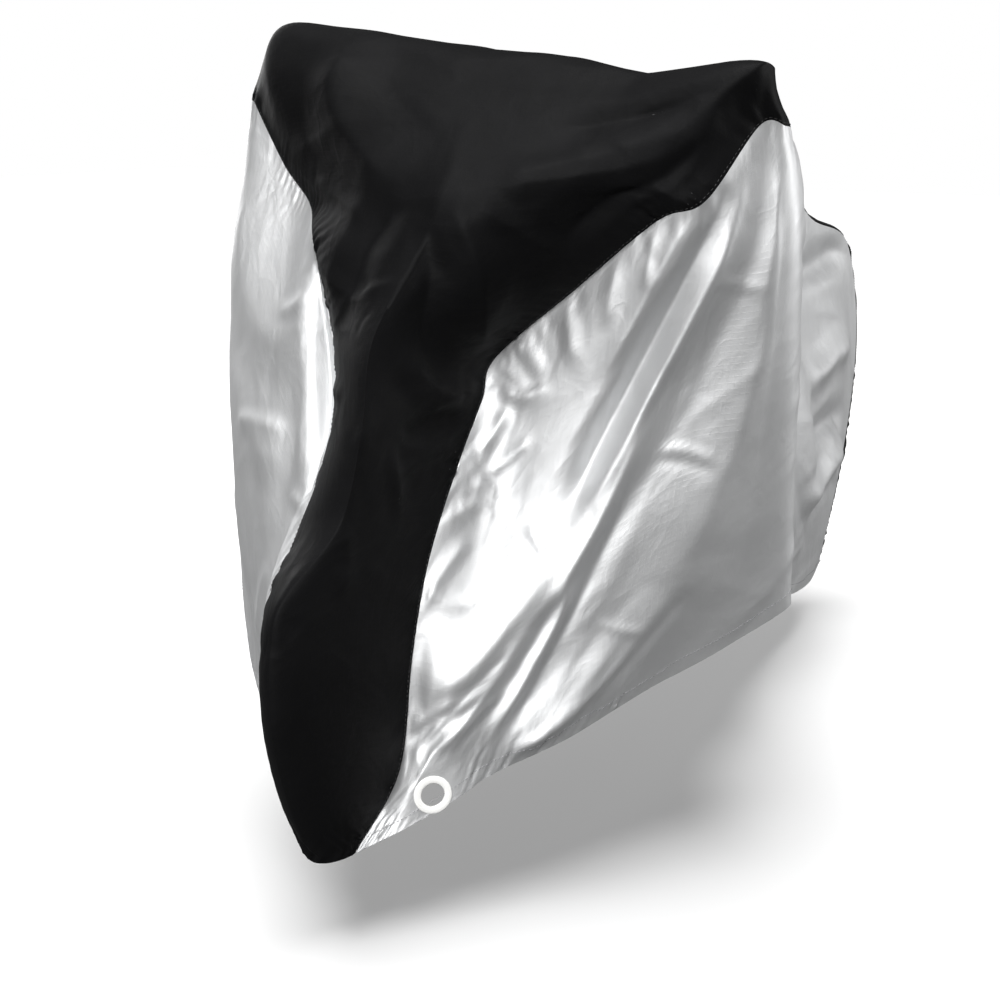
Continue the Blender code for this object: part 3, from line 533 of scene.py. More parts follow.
BLACK_SEAM_GATHERS, BLACK_HEM_GATHERS = Gathers(0.034, 0.030, 0.0020), Gathers(0.020, 0.035, 0.0026)
SILVER_SEAM_GATHERS, SILVER_HEM_GATHERS = Gathers(0.046, 0.032, 0.0009), Gathers(0.018, 0.030, 0.0011)


class Relief(NamedTuple):
    """How folds stand on a panel: how far from a seam they die, and the straight share of their profile."""

    hold: float
    crisp: float


BLACK_FOLDS, BLACK_CREASES = Relief(0.030, 0.4), Relief(0.012, 0.0)
SILVER_FOLDS, SILVER_CREASES = Relief(0.030, 0.5), Relief(0.010, 0.3)
FOLD_RUNS = 12                  # straight runs that a fold's line is cut into
FOLD_CREST = 0.6                # share of a fold's rounded profile that has a sharp crest
FOLD_END = 0.25                 # share of a fold's line over which it rises or dies

Surface = Callable[[Array, Array], Array]


def fold_rise(points: Array, normals: Array, surface: Surface, folds: Sequence[Fold],
              seams: Sequence[Array], relief: Relief) -> Array:
    """Add up the heights of folds on a grid of points.

    A fold's line is the curve through its three places, cut into straight runs. From each run a slope falls
    from 1 on it to 0 at the fold's width, which goes over from the left one to the right one round the run's
    ends. The share of the fold's height is part the slope squared, which has a sharp crest, part the eased
    slope, and by its crispness the slope itself, whose two sides are flat facets. It rises and dies over the
    ends of the line, unless it ends at the hem. The highest that any run gives counts, and it dies out at the
    seams.

    Args:
        points: The grid, with x, y and z last.
        normals: Its outward normals.
        surface: The panel's own function from two places to points.
        folds: The folds to raise.
        seams: Lines of points at which every fold dies.
        relief: How far from a seam they die, and how crisp they are.

    Returns:
        The rise of each point along its normal.
    """
    t = np.linspace(0, 1, FOLD_RUNS + 1)
    share = np.stack([(1 - t) * (1 - 2 * t), 4 * t * (1 - t), t * (2 * t - 1)])
    rise = np.zeros(points.shape[:-1])
    flat, faces = points.reshape(-1, 3), normals.reshape(-1, 3)
    total = rise.reshape(-1)
    for fold in folds:
        a, b = (share.T @ np.array([place[k] for place in fold[:3]]) for k in (0, 1))
        line = surface(a, b)
        reach = max(fold.left, fold.right)
        within = (flat > line.min(axis=0) - reach) & (flat < line.max(axis=0) + reach)
        inside = np.flatnonzero(within.all(axis=1))
        if not len(inside):
            continue
        own, turned = flat[inside], faces[inside]
        highest = np.zeros(len(inside))
        for k, (start, end) in enumerate(zip(line[:-1], line[1:])):
            t, off = off_run(own, start, end)
            distance = np.linalg.norm(off, axis=-1)
            side = (np.cross(turned, unit(end - start)) * off).sum(axis=-1) / np.maximum(distance, 1e-9)
            width = (fold.left + fold.right + (fold.left - fold.right) * side) / 2
            slope = np.clip(1 - distance / width, 0, 1)
            along = (k + t) / (len(line) - 1)
            to_hem = 1 if fold.end[1] == 0 else ease((1 - along) / FOLD_END)
            rounded = FOLD_CREST * slope**2 + (1 - FOLD_CREST) * ease(slope)
            profile = (1 - relief.crisp) * rounded + relief.crisp * slope
            highest = np.maximum(highest, profile * ease(along / FOLD_END) * to_hem)
        total[inside] += fold.height * highest
    for seam in seams:
        rise *= ease(beside(points, seam).distance / relief.hold)
    return rise


@dataclass
class Cloth:
    """A sheet of cloth on a grid: its outer face, and what gives it an inner face."""

    name: str
    outer: Array                # the grid of points on the outer face
    lean: Array                 # the way from the inner face to the outer one, at each point
    hand: int                   # 1 where the grid's two runs turn outwards, or -1
    thickness: Array            # of the cloth at each point
    kept: Array                 # which cells of the grid are cloth

    def flat_places(self) -> Array:
        """Return each point's place on the flat cloth, in metres: its reach along each run of the grid."""
        reach = []
        for axis in (0, 1):
            steps = np.linalg.norm(np.diff(self.outer, axis=axis), axis=-1)
            gone = np.insert(np.cumsum(steps, axis=axis), 0, 0, axis=axis)
            middle = gone.take([gone.shape[axis] // 2], axis=axis)
            reach.append(gone - middle)
        return np.stack(reach, axis=-1)

    def area(self) -> float:
        """Return the outer face's area: half the cross product of each cell's diagonals."""
        p = self.outer
        across = np.cross(p[1:, 1:] - p[:-1, :-1], p[1:, :-1] - p[:-1, 1:])
        return float((np.linalg.norm(across, axis=-1) / 2)[self.kept].sum())

    def span(self) -> tuple[float, float]:
        """Return the least rectangle's sides, in metres, that the flat cloth is cut from."""
        places = self.flat_places().reshape(-1, 2)
        return tuple(float(v) for v in np.ptp(places, axis=0))

    def mesh(self) -> bpy.types.Object:
        """Make the closed sheet.

        The outer face has the grid's cells, the inner face has them turned over and a thickness behind, and a
        rim of quads joins the two along each edge that only one kept cell has.

        Returns:
            The object, with two slots' worth of faces: the outer face and rim in slot 0, the inner face in 1.
        """
        rows, columns = self.outer.shape[:2]
        count = rows * columns
        number = np.arange(count).reshape(rows, columns)
        corners = [number[:-1, :-1], number[1:, :-1], number[1:, 1:], number[:-1, 1:]]
        quads = np.stack([c[self.kept] for c in corners], axis=-1)[:, ::self.hand]
        starts, ends = quads.ravel(), np.roll(quads, -1, axis=1).ravel()
        lone = ~np.isin(starts * count + ends, ends * count + starts)
        rim = np.stack([ends[lone], starts[lone], starts[lone] + count, ends[lone] + count], axis=-1)
        faces = np.concatenate([quads, rim, quads[:, ::-1] + count])
        inner = self.outer - self.lean * self.thickness[..., None]
        points = np.concatenate([self.outer.reshape(-1, 3), inner.reshape(-1, 3)]) - CARRIED_AT
        used, numbers = np.unique(faces, return_inverse=True)

        mesh = bpy.data.meshes.new(self.name)
        mesh.vertices.add(len(used))
        mesh.vertices.foreach_set("co", points[used].ravel())
        mesh.loops.add(numbers.size)
        mesh.loops.foreach_set("vertex_index", numbers.ravel())
        mesh.polygons.add(len(faces))
        mesh.polygons.foreach_set("loop_start", np.arange(0, numbers.size, 4))
        mesh.polygons.foreach_set("material_index", np.repeat([0, 1], [len(quads) + len(rim), len(quads)]))
        mesh.update(calc_edges=True)
        mesh.validate()
        mesh.shade_smooth()
        mesh.set_sharp_from_angle(angle=math.radians(60))
        places = self.flat_places().reshape(-1, 2)
        mesh.uv_layers.new(name="flat").data.foreach_set("uv", places[faces.ravel() % count].ravel())
        made = bpy.data.objects.new(self.name, mesh)
        bpy.context.scene.collection.objects.link(made)
        return made


class Socket(NamedTuple):
    """A shader group's input or output: its name, its kind and the value it starts from."""

    name: str
    kind: str = "NodeSocketFloat"
    value: float | None = None


class Shading:
    """Shader node groups that more than one finish uses, each built once."""

    _built: dict[str, bpy.types.NodeTree] = {}

    @classmethod
    def _start(cls, name: str, inputs: Sequence[Socket], outputs: Sequence[Socket]) -> bpy.types.NodeTree:
        """Make an empty group with its sockets and its two end nodes."""
        tree = bpy.data.node_groups.new(name, "ShaderNodeTree")
        for direction, sockets in (("INPUT", inputs), ("OUTPUT", outputs)):
            for socket in sockets:
                made = tree.interface.new_socket(socket.name, in_out=direction, socket_type=socket.kind)
                if socket.value is not None:
                    made.default_value = socket.value
        tree.nodes.new("NodeGroupInput").name = "in"
        tree.nodes.new("NodeGroupOutput").name = "out"
        cls._built[name] = tree
        return tree

    @staticmethod
    def math(tree: bpy.types.NodeTree, operation: str, first: object, second: object = None) -> object:
        """Add a Math node.

        Args:
            tree: The tree that it goes in.
            operation: Blender's word for what it does.
            first: A socket or a number.
            second: A socket or a number, if it needs one.

        Returns:
            The node's output socket.
        """
        node = tree.nodes.new("ShaderNodeMath")
        node.operation = operation
        for k, value in enumerate((first, second)):
            if isinstance(value, (int, float)):
                node.inputs[k].default_value = value
            elif value is not None:
                tree.links.new(value, node.inputs[k])
        return node.outputs[0]

    @classmethod
    def weave(cls) -> bpy.types.NodeTree:
        """Plain weave: the product of two sines, one a thread each way, and a rib every few threads."""
        if "plain_weave" in cls._built:
            return cls._built["plain_weave"]
        tree = cls._start("plain_weave",
                          [Socket("Place", "NodeSocketVector"), Socket("Threads", value=1200.0),
                           Socket("Rib every", value=9.0)],
                          [Socket("Height"), Socket("Rib")])
        begin, end = tree.nodes["in"], tree.nodes["out"]
        split = tree.nodes.new("ShaderNodeSeparateXYZ")
        tree.links.new(begin.outputs["Place"], split.inputs[0])
        waves, ribs = [], []
        for k in (0, 1):
            thread = cls.math(tree, "MULTIPLY", split.outputs[k], begin.outputs["Threads"])
            waves.append(cls.math(tree, "SINE", cls.math(tree, "MULTIPLY", thread, math.pi)))
            turn = cls.math(tree, "FRACT", cls.math(tree, "DIVIDE", thread, begin.outputs["Rib every"]))
            ribs.append(cls.math(tree, "GREATER_THAN", turn, 0.86))
        cross = cls.math(tree, "MULTIPLY", *waves)
        rib = cls.math(tree, "MAXIMUM", *ribs)
        height = cls.math(tree, "ADD", cls.math(tree, "MULTIPLY", cross, 0.5), rib)
        tree.links.new(height, end.inputs["Height"])
        tree.links.new(rib, end.inputs["Rib"])
        return tree

    @classmethod
    def crumple(cls) -> bpy.types.NodeTree:
        """Crumpled coating: the folded-over middle of a noise, which makes thin crests, at two sizes."""
        if "crumple" in cls._built:
            return cls._built["crumple"]
        tree = cls._start("crumple", [Socket("Place", "NodeSocketVector"), Socket("Size", value=14.0)],
                          [Socket("Height"), Socket("Shade")])
        begin, end = tree.nodes["in"], tree.nodes["out"]
        heights = []
        for ratio, share in ((1.0, 1.0), (2.7, 0.35)):
            noise = tree.nodes.new("ShaderNodeTexNoise")
            noise.inputs["Detail"].default_value = 2.0
            noise.inputs["Distortion"].default_value = 0.6
            tree.links.new(begin.outputs["Place"], noise.inputs["Vector"])
            tree.links.new(cls.math(tree, "MULTIPLY", begin.outputs["Size"], ratio), noise.inputs["Scale"])
            away = cls.math(tree, "ABSOLUTE", cls.math(tree, "SUBTRACT", noise.outputs[0], 0.5))
            crest = cls.math(tree, "SUBTRACT", 1.0, cls.math(tree, "MULTIPLY", away, 5.0))
            heights.append(cls.math(tree, "MULTIPLY", cls.math(tree, "MAXIMUM", crest, 0.0), share))
        tree.links.new(cls.math(tree, "ADD", *heights), end.inputs["Height"])
        tree.links.new(heights[0], end.inputs["Shade"])
        return tree

    @staticmethod
    def use(tree: bpy.types.NodeTree, group: bpy.types.NodeTree, **values: object) -> bpy.types.Node:
        """Place a group in a material.

        Args:
            tree: The material's own tree.
            group: The group.
            **values: For each input, spaces written as underscores, a socket or a number.

        Returns:
            The group's node.
        """
        node = tree.nodes.new("ShaderNodeGroup")
        node.node_tree = group
        for name, value in values.items():
            socket = node.inputs[name.replace("_", " ")]
            if isinstance(value, (int, float)):
                socket.default_value = value
            else:
                tree.links.new(value, socket)
        return node


@dataclass(frozen=True)
class ClothFinish:
    """Woven cloth with a coated face: its colours, how it shines, and how strongly each detail shows."""

    name: str
    colour: tuple[float, float, float]
    worn: tuple[float, float, float]        # where crests rub and where dust lies
    metallic: float
    roughness: float
    weave_depth: float
    crumple_depth: float
    crumple_size: float = 16.0              # crumples in a metre
    specular: float = 0.5
    crest_wear: float = 0.22
    patch_size: float = 6.0                 # rubbed patches in a metre
    rub_roughness: float = 0.16

    def material(self) -> bpy.types.Material:
        """Make the material.

        Colour goes from its own to the worn one on the crumple's crests and in rubbed patches, which a cloud
        of noise places. The patches are rougher too. One bump raises the crumple and one the weave.

        Returns:
            The material.
        """
        made = bpy.data.materials.new(self.name)
        made.use_nodes = True
        tree = made.node_tree
        shader = tree.nodes["Principled BSDF"]
        shader.inputs["Metallic"].default_value = self.metallic
        shader.inputs["Specular IOR Level"].default_value = self.specular

        flat = tree.nodes.new("ShaderNodeUVMap")
        flat.uv_map = "flat"
        weave = Shading.use(tree, Shading.weave(), Place=flat.outputs[0])
        crumple = Shading.use(tree, Shading.crumple(), Place=flat.outputs[0], Size=self.crumple_size)

        cloud = tree.nodes.new("ShaderNodeTexNoise")
        cloud.inputs["Scale"].default_value = self.patch_size
        cloud.inputs["Detail"].default_value = 4.0
        tree.links.new(flat.outputs[0], cloud.inputs["Vector"])
        rubbed = tree.nodes.new("ShaderNodeMapRange")
        tree.links.new(cloud.outputs[0], rubbed.inputs["Value"])
        for name, value in (("From Min", 0.42), ("From Max", 0.78), ("To Min", 0.0), ("To Max", 0.5)):
            rubbed.inputs[name].default_value = value
        crest = Shading.math(tree, "MULTIPLY", crumple.outputs["Shade"], self.crest_wear)
        wear = Shading.math(tree, "ADD", crest, rubbed.outputs[0])
        mix = tree.nodes.new("ShaderNodeMix")
        mix.data_type = "RGBA"
        mix.inputs["A"].default_value = (*self.colour, 1)
        mix.inputs["B"].default_value = (*self.worn, 1)
        tree.links.new(wear, mix.inputs["Factor"])
        tree.links.new(mix.outputs["Result"], shader.inputs["Base Color"])
        rougher = Shading.math(tree, "MULTIPLY", rubbed.outputs[0], self.rub_roughness)
        rough = Shading.math(tree, "ADD", rougher, self.roughness)
        tree.links.new(rough, shader.inputs["Roughness"])

        normal = None
        for height, depth in ((crumple.outputs["Height"], self.crumple_depth),
                              (weave.outputs["Height"], self.weave_depth)):
            bump = tree.nodes.new("ShaderNodeBump")
            bump.inputs["Strength"].default_value = 1.0
            bump.inputs["Distance"].default_value = depth
            tree.links.new(height, bump.inputs["Height"])
            if normal is not None:
                tree.links.new(normal, bump.inputs["Normal"])
            normal = bump.outputs[0]
        tree.links.new(normal, shader.inputs["Normal"])
        return made


@dataclass(frozen=True)
class PlainFinish:
    """A finish with slight mottling and fine grain, for moulded and spun pieces and for the floor."""

    name: str
    colour: tuple[float, float, float]
    roughness: float
    mottle: float = 0.06
    grain: float = 600.0
    grain_depth: float = 0.00004

    def material(self) -> bpy.types.Material:
        """Make the material: a noise in Object coordinates shades the colour and raises a fine grain."""
        made = bpy.data.materials.new(self.name)
        made.use_nodes = True
        tree = made.node_tree
        shader = tree.nodes["Principled BSDF"]
        place = tree.nodes.new("ShaderNodeTexCoord")
        noise = tree.nodes.new("ShaderNodeTexNoise")
        noise.inputs["Scale"].default_value = self.grain
        noise.inputs["Detail"].default_value = 3.0
        tree.links.new(place.outputs["Object"], noise.inputs["Vector"])
        mix = tree.nodes.new("ShaderNodeMix")
        mix.data_type = "RGBA"
        mix.inputs["A"].default_value = (*(c * (1 - self.mottle) for c in self.colour), 1)
        mix.inputs["B"].default_value = (*(min(1.0, c * (1 + self.mottle)) for c in self.colour), 1)
        tree.links.new(noise.outputs[0], mix.inputs["Factor"])
        tree.links.new(mix.outputs["Result"], shader.inputs["Base Color"])
        shader.inputs["Roughness"].default_value = self.roughness
        bump = tree.nodes.new("ShaderNodeBump")
        bump.inputs["Distance"].default_value = self.grain_depth
        tree.links.new(noise.outputs[0], bump.inputs["Height"])
        tree.links.new(bump.outputs[0], shader.inputs["Normal"])
        return made


BLACK = ClothFinish("black_cloth", (0.0040, 0.0040, 0.0043), (0.0075, 0.0075, 0.0080),
                    metallic=0.0, roughness=0.55, weave_depth=0.00004, crumple_depth=0.0006,
                    crumple_size=9.0, specular=0.055)
BLACK_INSIDE = ClothFinish("black_cloth_inside", (0.03, 0.03, 0.032), (0.05, 0.05, 0.05),
                           metallic=0.0, roughness=0.7, weave_depth=0.00005, crumple_depth=0.0006)
SILVER = ClothFinish("silver_cloth", (0.64, 0.645, 0.65), (0.70, 0.705, 0.71),
                     metallic=0.85, roughness=0.56, weave_depth=0.00003, crumple_depth=0.0004,
                     crumple_size=11.0, specular=0.40)
SILVER_INSIDE = ClothFinish("silver_cloth_inside", (0.30, 0.305, 0.31), (0.36, 0.36, 0.37),
                            metallic=0.1, roughness=0.6, weave_depth=0.00005, crumple_depth=0.0006)
WHITE = PlainFinish("white_plastic", (0.85, 0.85, 0.83), 0.32, 0.03)
BLACK_THREAD = PlainFinish("black_thread", (0.03, 0.03, 0.03), 0.6)
SILVER_THREAD = PlainFinish("silver_thread", (0.26, 0.26, 0.27), 0.6)
FLOOR = PlainFinish("floor", (0.76, 0.76, 0.76), 0.9, 0.01, 3.0)


@dataclass
class Eyelet:
    """A moulded eyelet in a panel's front hem corner."""

    flank: Flank
    centre: Array               # on the cloth's mid-plane
    axis: Array                 # outwards
    bore: float = 0.0145
    tube: float = 0.0160
    radius: float = 0.0235
    cloth: float = 0.0020       # the solids' cloth, which the groove takes
    rise: float = 0.0016        # over the cloth
    gap: float = 0.0003         # between a flange and the cloth
    back_inset: float = 0.0012  # how much narrower the back flange is
    crown: float = 0.7          # power of the sine that rounds a flange's top
    around: int = 96
    across: int = 15            # points over a flange's top

    def section(self) -> Array:
        """Return the section as rows of radius and height: a front flange and a narrower back one."""
        half = self.cloth / 2 + self.gap
        turn = np.linspace(0, math.pi, self.across)[:, None]
        wide = (self.radius - self.bore) / 2
        top = self.rise * np.sin(turn) ** self.crown
        front = np.hstack([self.bore + wide + wide * -np.cos(turn), half + top])
        back = np.hstack([self.bore + (wide - self.back_inset) * (1 + np.cos(turn)), -half - top])
        return np.vstack([front, [[self.tube, half]], [[self.tube, -half]], back])

    def build(self, finish: bpy.types.Material) -> bpy.types.Object:
        """Turn the section about the axis: radius times the turning direction, plus height along the axis.

        Args:
            finish: The moulding's material.

        Returns:
            The ring.
        """
        section = self.section()
        turn = np.linspace(0, 2 * math.pi, self.around, endpoint=False)
        side = unit(np.cross(self.axis, (0.0, 0.0, 1.0)))
        up = np.cross(side, self.axis)
        spoke = np.cos(turn)[:, None] * side + np.sin(turn)[:, None] * up
        points = (self.centre + section[None, :, :1] * spoke[:, None] + section[None, :, 1:] * self.axis)
        rows, columns = points.shape[:2]
        number = np.arange(rows * columns).reshape(rows, columns)
        after = np.roll(number, -1, axis=0)
        faces = np.stack([number, np.roll(number, -1, axis=1), np.roll(after, -1, axis=1), after], axis=-1)
        mesh = bpy.data.meshes.new(f"eyelet_ring_{self.flank.word}")
        mesh.from_pydata((points.reshape(-1, 3) - CARRIED_AT).tolist(), [], faces.reshape(-1, 4).tolist())
        mesh.shade_smooth()
        mesh.set_sharp_from_angle(angle=math.radians(50))
        mesh.materials.append(finish)
        made = bpy.data.objects.new(mesh.name, mesh)
        bpy.context.scene.collection.objects.link(made)
        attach(made, "root")
        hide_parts(f"eyelet_{self.flank.word}")
        return made


@dataclass
class Stitching:
    """A row of stitches along a line on the cloth."""

    name: str
    line: Array                 # points of the line
    normals: Array              # outward, at each of them
    slot: str
    pitch: float = 0.0062
    length: float = 0.0042
    thread: float = 0.0004      # half its thickness
    arch: float = 2.2           # a stitch's rise over its ends, in half thicknesses
    dip: float = 0.6            # how deep its ends are in the cloth, in the same
    tip: float = 0.25           # thickness of its ends, as a share

    def build(self, finish: bpy.types.Material) -> bpy.types.Object:
        """Lay one short thread at each pitch: a six-sided tube that dips into the cloth at its ends.

        A stitch's middle line is a bow, one less the square of the way from its middle, times its height over
        the cloth. Its tube narrows towards the ends as the root of the same bow.

        Args:
            finish: The thread's material.

        Returns:
            One object of all the stitches.
        """
        reach = np.append(0, np.cumsum(np.linalg.norm(np.diff(self.line, axis=0), axis=1)))
        at = np.arange(self.pitch, reach[-1] - self.pitch, self.pitch)
        along = np.linspace(-1, 1, 6)
        places = at[:, None] + along * self.length / 2
        middle = np.stack([np.interp(places, reach, self.line[:, k]) for k in range(3)], axis=-1)
        facing = unit(np.stack([np.interp(places, reach, self.normals[:, k]) for k in range(3)], axis=-1))
        run = unit(np.gradient(middle, axis=1))
        side = np.cross(facing, run)
        bow = 1 - along**2
        middle = middle + facing * (self.thread * (self.arch * bow - self.dip))[None, :, None]
        wide = self.thread * (self.tip + (1 - self.tip) * np.sqrt(bow))
        turn = np.linspace(0, 2 * math.pi, 6, endpoint=False)
        points = (middle[:, :, None] + wide[None, :, None, None] * (
            np.cos(turn)[:, None] * side[:, :, None] + np.sin(turn)[:, None] * facing[:, :, None]))
        count, rings, sides = points.shape[:3]
        number = np.arange(count * rings * sides).reshape(count, rings, sides)
        around = np.roll(number, -1, axis=2)
        walls = np.stack([number[:, :-1], number[:, 1:], around[:, 1:], around[:, :-1]], axis=-1)
        caps = np.concatenate([number[:, 0], number[:, -1, ::-1]])
        mesh = bpy.data.meshes.new(self.name)
        faces = walls.reshape(-1, 4).tolist() + caps.tolist()
        mesh.from_pydata((points.reshape(-1, 3) - CARRIED_AT).tolist(), [], faces)
        mesh.shade_smooth()
        mesh.materials.append(finish)
        made = bpy.data.objects.new(self.name, mesh)
        bpy.context.scene.collection.objects.link(made)
        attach(made, "root")
        return made


@dataclass
class Cover:
    """The cover: a centre panel and two side panels that share their seams, and what is sewn to them."""

    front_columns: int = 150
    rear_columns: int = 104
    fold_at: float = 0.53           # place of the peak's fold along a side panel
    rows: int = 118
    across: int = 92
    thickness: float = 0.0009
    hem_height: float = 0.020
    hem_thickness: float = 0.0034
    hem_end: float = 0.36           # place where the front hem's strong gathers end
    hem_fade: float = 0.16
    hem_extra: float = 1.4          # how much higher they are
    softening: int = 3              # passes that round the side panels' main folds
    eyelet_at: float = 0.107
    eyelet_height: float = 0.046
    flat_radius: float = 0.028      # of the cloth that the eyelet holds flat
    flat_fade: float = 0.040
    hole_radius: float = 0.0163
    hole_reach: float = 0.0032      # how far from its edge points move onto it
    seam_inset: float = 0.004       # of the stitches beside a seam

    def _places(self) -> Array:
        """Return the places along a side panel, closer together in front of the peak's fold."""
        front = np.linspace(0, self.fold_at, self.front_columns)
        return np.append(front, np.linspace(self.fold_at, 1, self.rear_columns)[1:])

    def _heights(self) -> Array:
        """Return the heights up a side panel, a little closer together at the hem."""
        t = np.linspace(0, 1, self.rows + 1)
        return t * (0.75 + 0.25 * t)

    def _seam_run(self, side: SideSurface) -> Array:
        """Return the sections along a side panel's whole seam: up its front, along its top, down its rear."""
        heights = self._heights()
        return np.concatenate([heights * NECK, side.seam_section(self._places()[1:]),
                               REAR_HEM + (REAR_NECK - REAR_HEM) * heights[-2::-1]])

    def _path(self) -> tuple[Array, Array]:
        """Return the grid indices of a side panel's points along that seam."""
        columns, rows = len(self._places()), self.rows + 1
        i = np.concatenate([np.zeros(rows, int), np.arange(1, columns), np.full(rows - 1, columns - 1)])
        j = np.concatenate([np.arange(rows), np.full(columns - 1, rows - 1), np.arange(rows - 2, -1, -1)])
        return i, j

    def build(self) -> list[bpy.types.Object]:
        """Build the three sheets, the eyelets and the stitching.

        Returns:
            Every object made.
        """
        sides = {Flank.LEFT: SideSurface(LEFT_COLUMNS, Flank.LEFT),
                 Flank.RIGHT: SideSurface(RIGHT_COLUMNS, Flank.RIGHT)}
        silver, inside = SILVER.material(), SILVER_INSIDE.material()
        black, black_inside = BLACK.material(), BLACK_INSIDE.material()
        white, black_thread, silver_thread = (f.material() for f in (WHITE, BLACK_THREAD, SILVER_THREAD))
        centre, lean, hem_away, seams = self._centre(sides)

        objects: list[bpy.types.Object] = []
        path = self._path()
        for flank, side in sides.items():
            cloth, eyelet = self._side(side, seams[flank], path, lean)
            made = cloth.mesh()
            for finish in (silver, inside):
                made.data.materials.append(finish)
            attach(made, "root")
            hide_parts(f"side_panel_{flank.word}", f"eyelet_strip_{flank.word}")
            ring = eyelet.build(white)
            threads = self._threads(cloth, path, flank, black_thread, silver_thread, centre, lean)
            width, length = cloth.span()
            round(cloth.area(), 4)
            logging.info("%s: %.2f m2, cut from %.2f x %.2f m", made.name, cloth.area(), width, length)
            objects += [made, ring, *threads]

        cells = np.ones((self.across, centre.shape[1] - 1), bool)
        panel = Cloth("centre_cloth", centre, lean, 1, self._hem_thickness(hem_away), cells)
        made = panel.mesh()
        for finish in (black, black_inside):
            made.data.materials.append(finish)
        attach(made, "root")
        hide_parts("centre_panel")
        width, length = panel.span()
        logging.info("%s: %.2f m2, cut from %.2f x %.2f m", made.name, panel.area(), width, length)
        return objects + [made]

    def _centre(self, sides: dict[Flank, SideSurface]) -> tuple[Array, Array, Array, dict[Flank, Array]]:
        """Work out the centre panel: its surface, raised by its folds, creases and gathers.

        Args:
            sides: The side panels' surfaces, whose places along the seams set the grid's sections.

        Returns:
            The points, their leans, their distances from the nearer hem, and the two seams' points.
        """
        surface = CentreSurface()
        across = np.linspace(-1, 1, self.across + 1)[:, None]
        run = {flank: self._seam_run(side) for flank, side in sides.items()}
        section = run[Flank.RIGHT] * (1 - across) / 2 + run[Flank.LEFT] * (1 + across) / 2
        points = surface.point(section, np.broadcast_to(across, section.shape))
        normals = outward(points, 1)
        seams = {Flank.LEFT: points[-1].copy(), Flank.RIGHT: points[0].copy()}
        edges = list(seams.values())
        main = fold_rise(points, normals, surface.point, CENTRE_FOLDS, edges, BLACK_FOLDS)
        small = CENTRE_CREASES + sum((crinkles.folds() for crinkles in CENTRE_CRINKLES), ())
        fine = fold_rise(points, normals, surface.point, small, edges, BLACK_CREASES)
        points = points + normals * (main + fine)[..., None]
        for k, seam in enumerate(edges):
            near = beside(points, seam[::3])
            length = float(np.linalg.norm(np.diff(seam, axis=0), axis=1).sum())
            ripple = BLACK_SEAM_GATHERS.rise(near.along * length, near.distance, 30 + k)
            points = points + normals * ripple[..., None]
        hem_away = np.minimum(*(self._reach(points, 1, back) for back in (False, True)))
        ripple = BLACK_HEM_GATHERS.rise(self._reach(points, 0, False), hem_away, 41)
        points = points + normals * ripple[..., None]
        points[0], points[-1] = seams[Flank.RIGHT], seams[Flank.LEFT]
        return points, outward(points, 1), hem_away, seams

    @staticmethod
    def _reach(points: Array, axis: int, back: bool) -> Array:
        """Return each point's reach along one of the grid's runs, from its start or back from its end."""
        steps = np.linalg.norm(np.diff(points, axis=axis), axis=-1)
        gone = np.insert(np.cumsum(steps, axis=axis), 0, 0, axis=axis)
        return gone.take([-1], axis=axis) - gone if back else gone

    def _hem_thickness(self, away: Array) -> Array:
        """Return the cloth's thickness: its own, and over the hem the rounded bulge of the elastic in it."""
        inside = np.clip(away / self.hem_height, 0, 1)
        bulge = np.sqrt(np.clip(1 - (2 * inside - 1) ** 2, 0, 1))
        return self.thickness + (self.hem_thickness - self.thickness) * bulge

    def _side(self, side: SideSurface, seam: Array, path: tuple[Array, Array],
              centre_lean: Array) -> tuple[Cloth, Eyelet]:
        """Work out one side panel and its eyelet.

        Args:
            side: The panel's surface.
            seam: The points of its seam, which stay in place.
            path: Where those lie in the panel's grid.
            centre_lean: The centre panel's leans, whose seam rows are set to the shared ones.

        Returns:
            The cloth and the eyelet.
        """
        flank = side.flank
        hand = flank.value
        on_left = flank is Flank.LEFT
        folds, creases = (LEFT_FOLDS, LEFT_CREASES) if on_left else (RIGHT_FOLDS, RIGHT_CREASES)
        later = 0 if on_left else 10        # the step to this panel's own random draws
        at, height = np.meshgrid(self._places(), self._heights(), indexing="ij")
        points = side.point(at, height)
        normals = outward(points, hand)
        main = softened(fold_rise(points, normals, side.point, folds, [seam], SILVER_FOLDS), self.softening)
        small = creases + sum((crinkles.folds(later) for crinkles in SIDE_CRINKLES), ())
        fine = fold_rise(points, normals, side.point, small, [seam], SILVER_CREASES)
        points = points + normals * (main + fine)[..., None]

        near = beside(points, seam[::3])
        length = float(np.linalg.norm(np.diff(seam, axis=0), axis=1).sum())
        ripple = SILVER_SEAM_GATHERS.rise(near.along * length, near.distance, 54 + later)
        hem_away, hem_along = self._reach(points, 1, False), self._reach(points, 0, False)
        front = ease((self.hem_end - at) / self.hem_fade)
        gathers = SILVER_HEM_GATHERS.rise(hem_along, hem_away, 55 + later) * (1 + self.hem_extra * front)
        points = points + normals * (ripple + gathers)[..., None]

        spot = side.point(np.array(self.eyelet_at), np.array(self.eyelet_height))
        step = np.array([[-0.01, 0], [0.01, 0], [0, -0.02], [0, 0.02]])
        fore, aft, low, high = side.point(self.eyelet_at + step[:, 0], self.eyelet_height + step[:, 1])
        axis = hand * unit(np.cross(aft - fore, high - low))
        reach = np.linalg.norm(points - spot, axis=-1)
        above = (points - spot) @ axis
        flattened = above * ease(1 - (reach - self.flat_radius) / self.flat_fade)
        points = points - flattened[..., None] * axis
        points, kept = self._hole(points, spot, axis)
        points[path] = seam

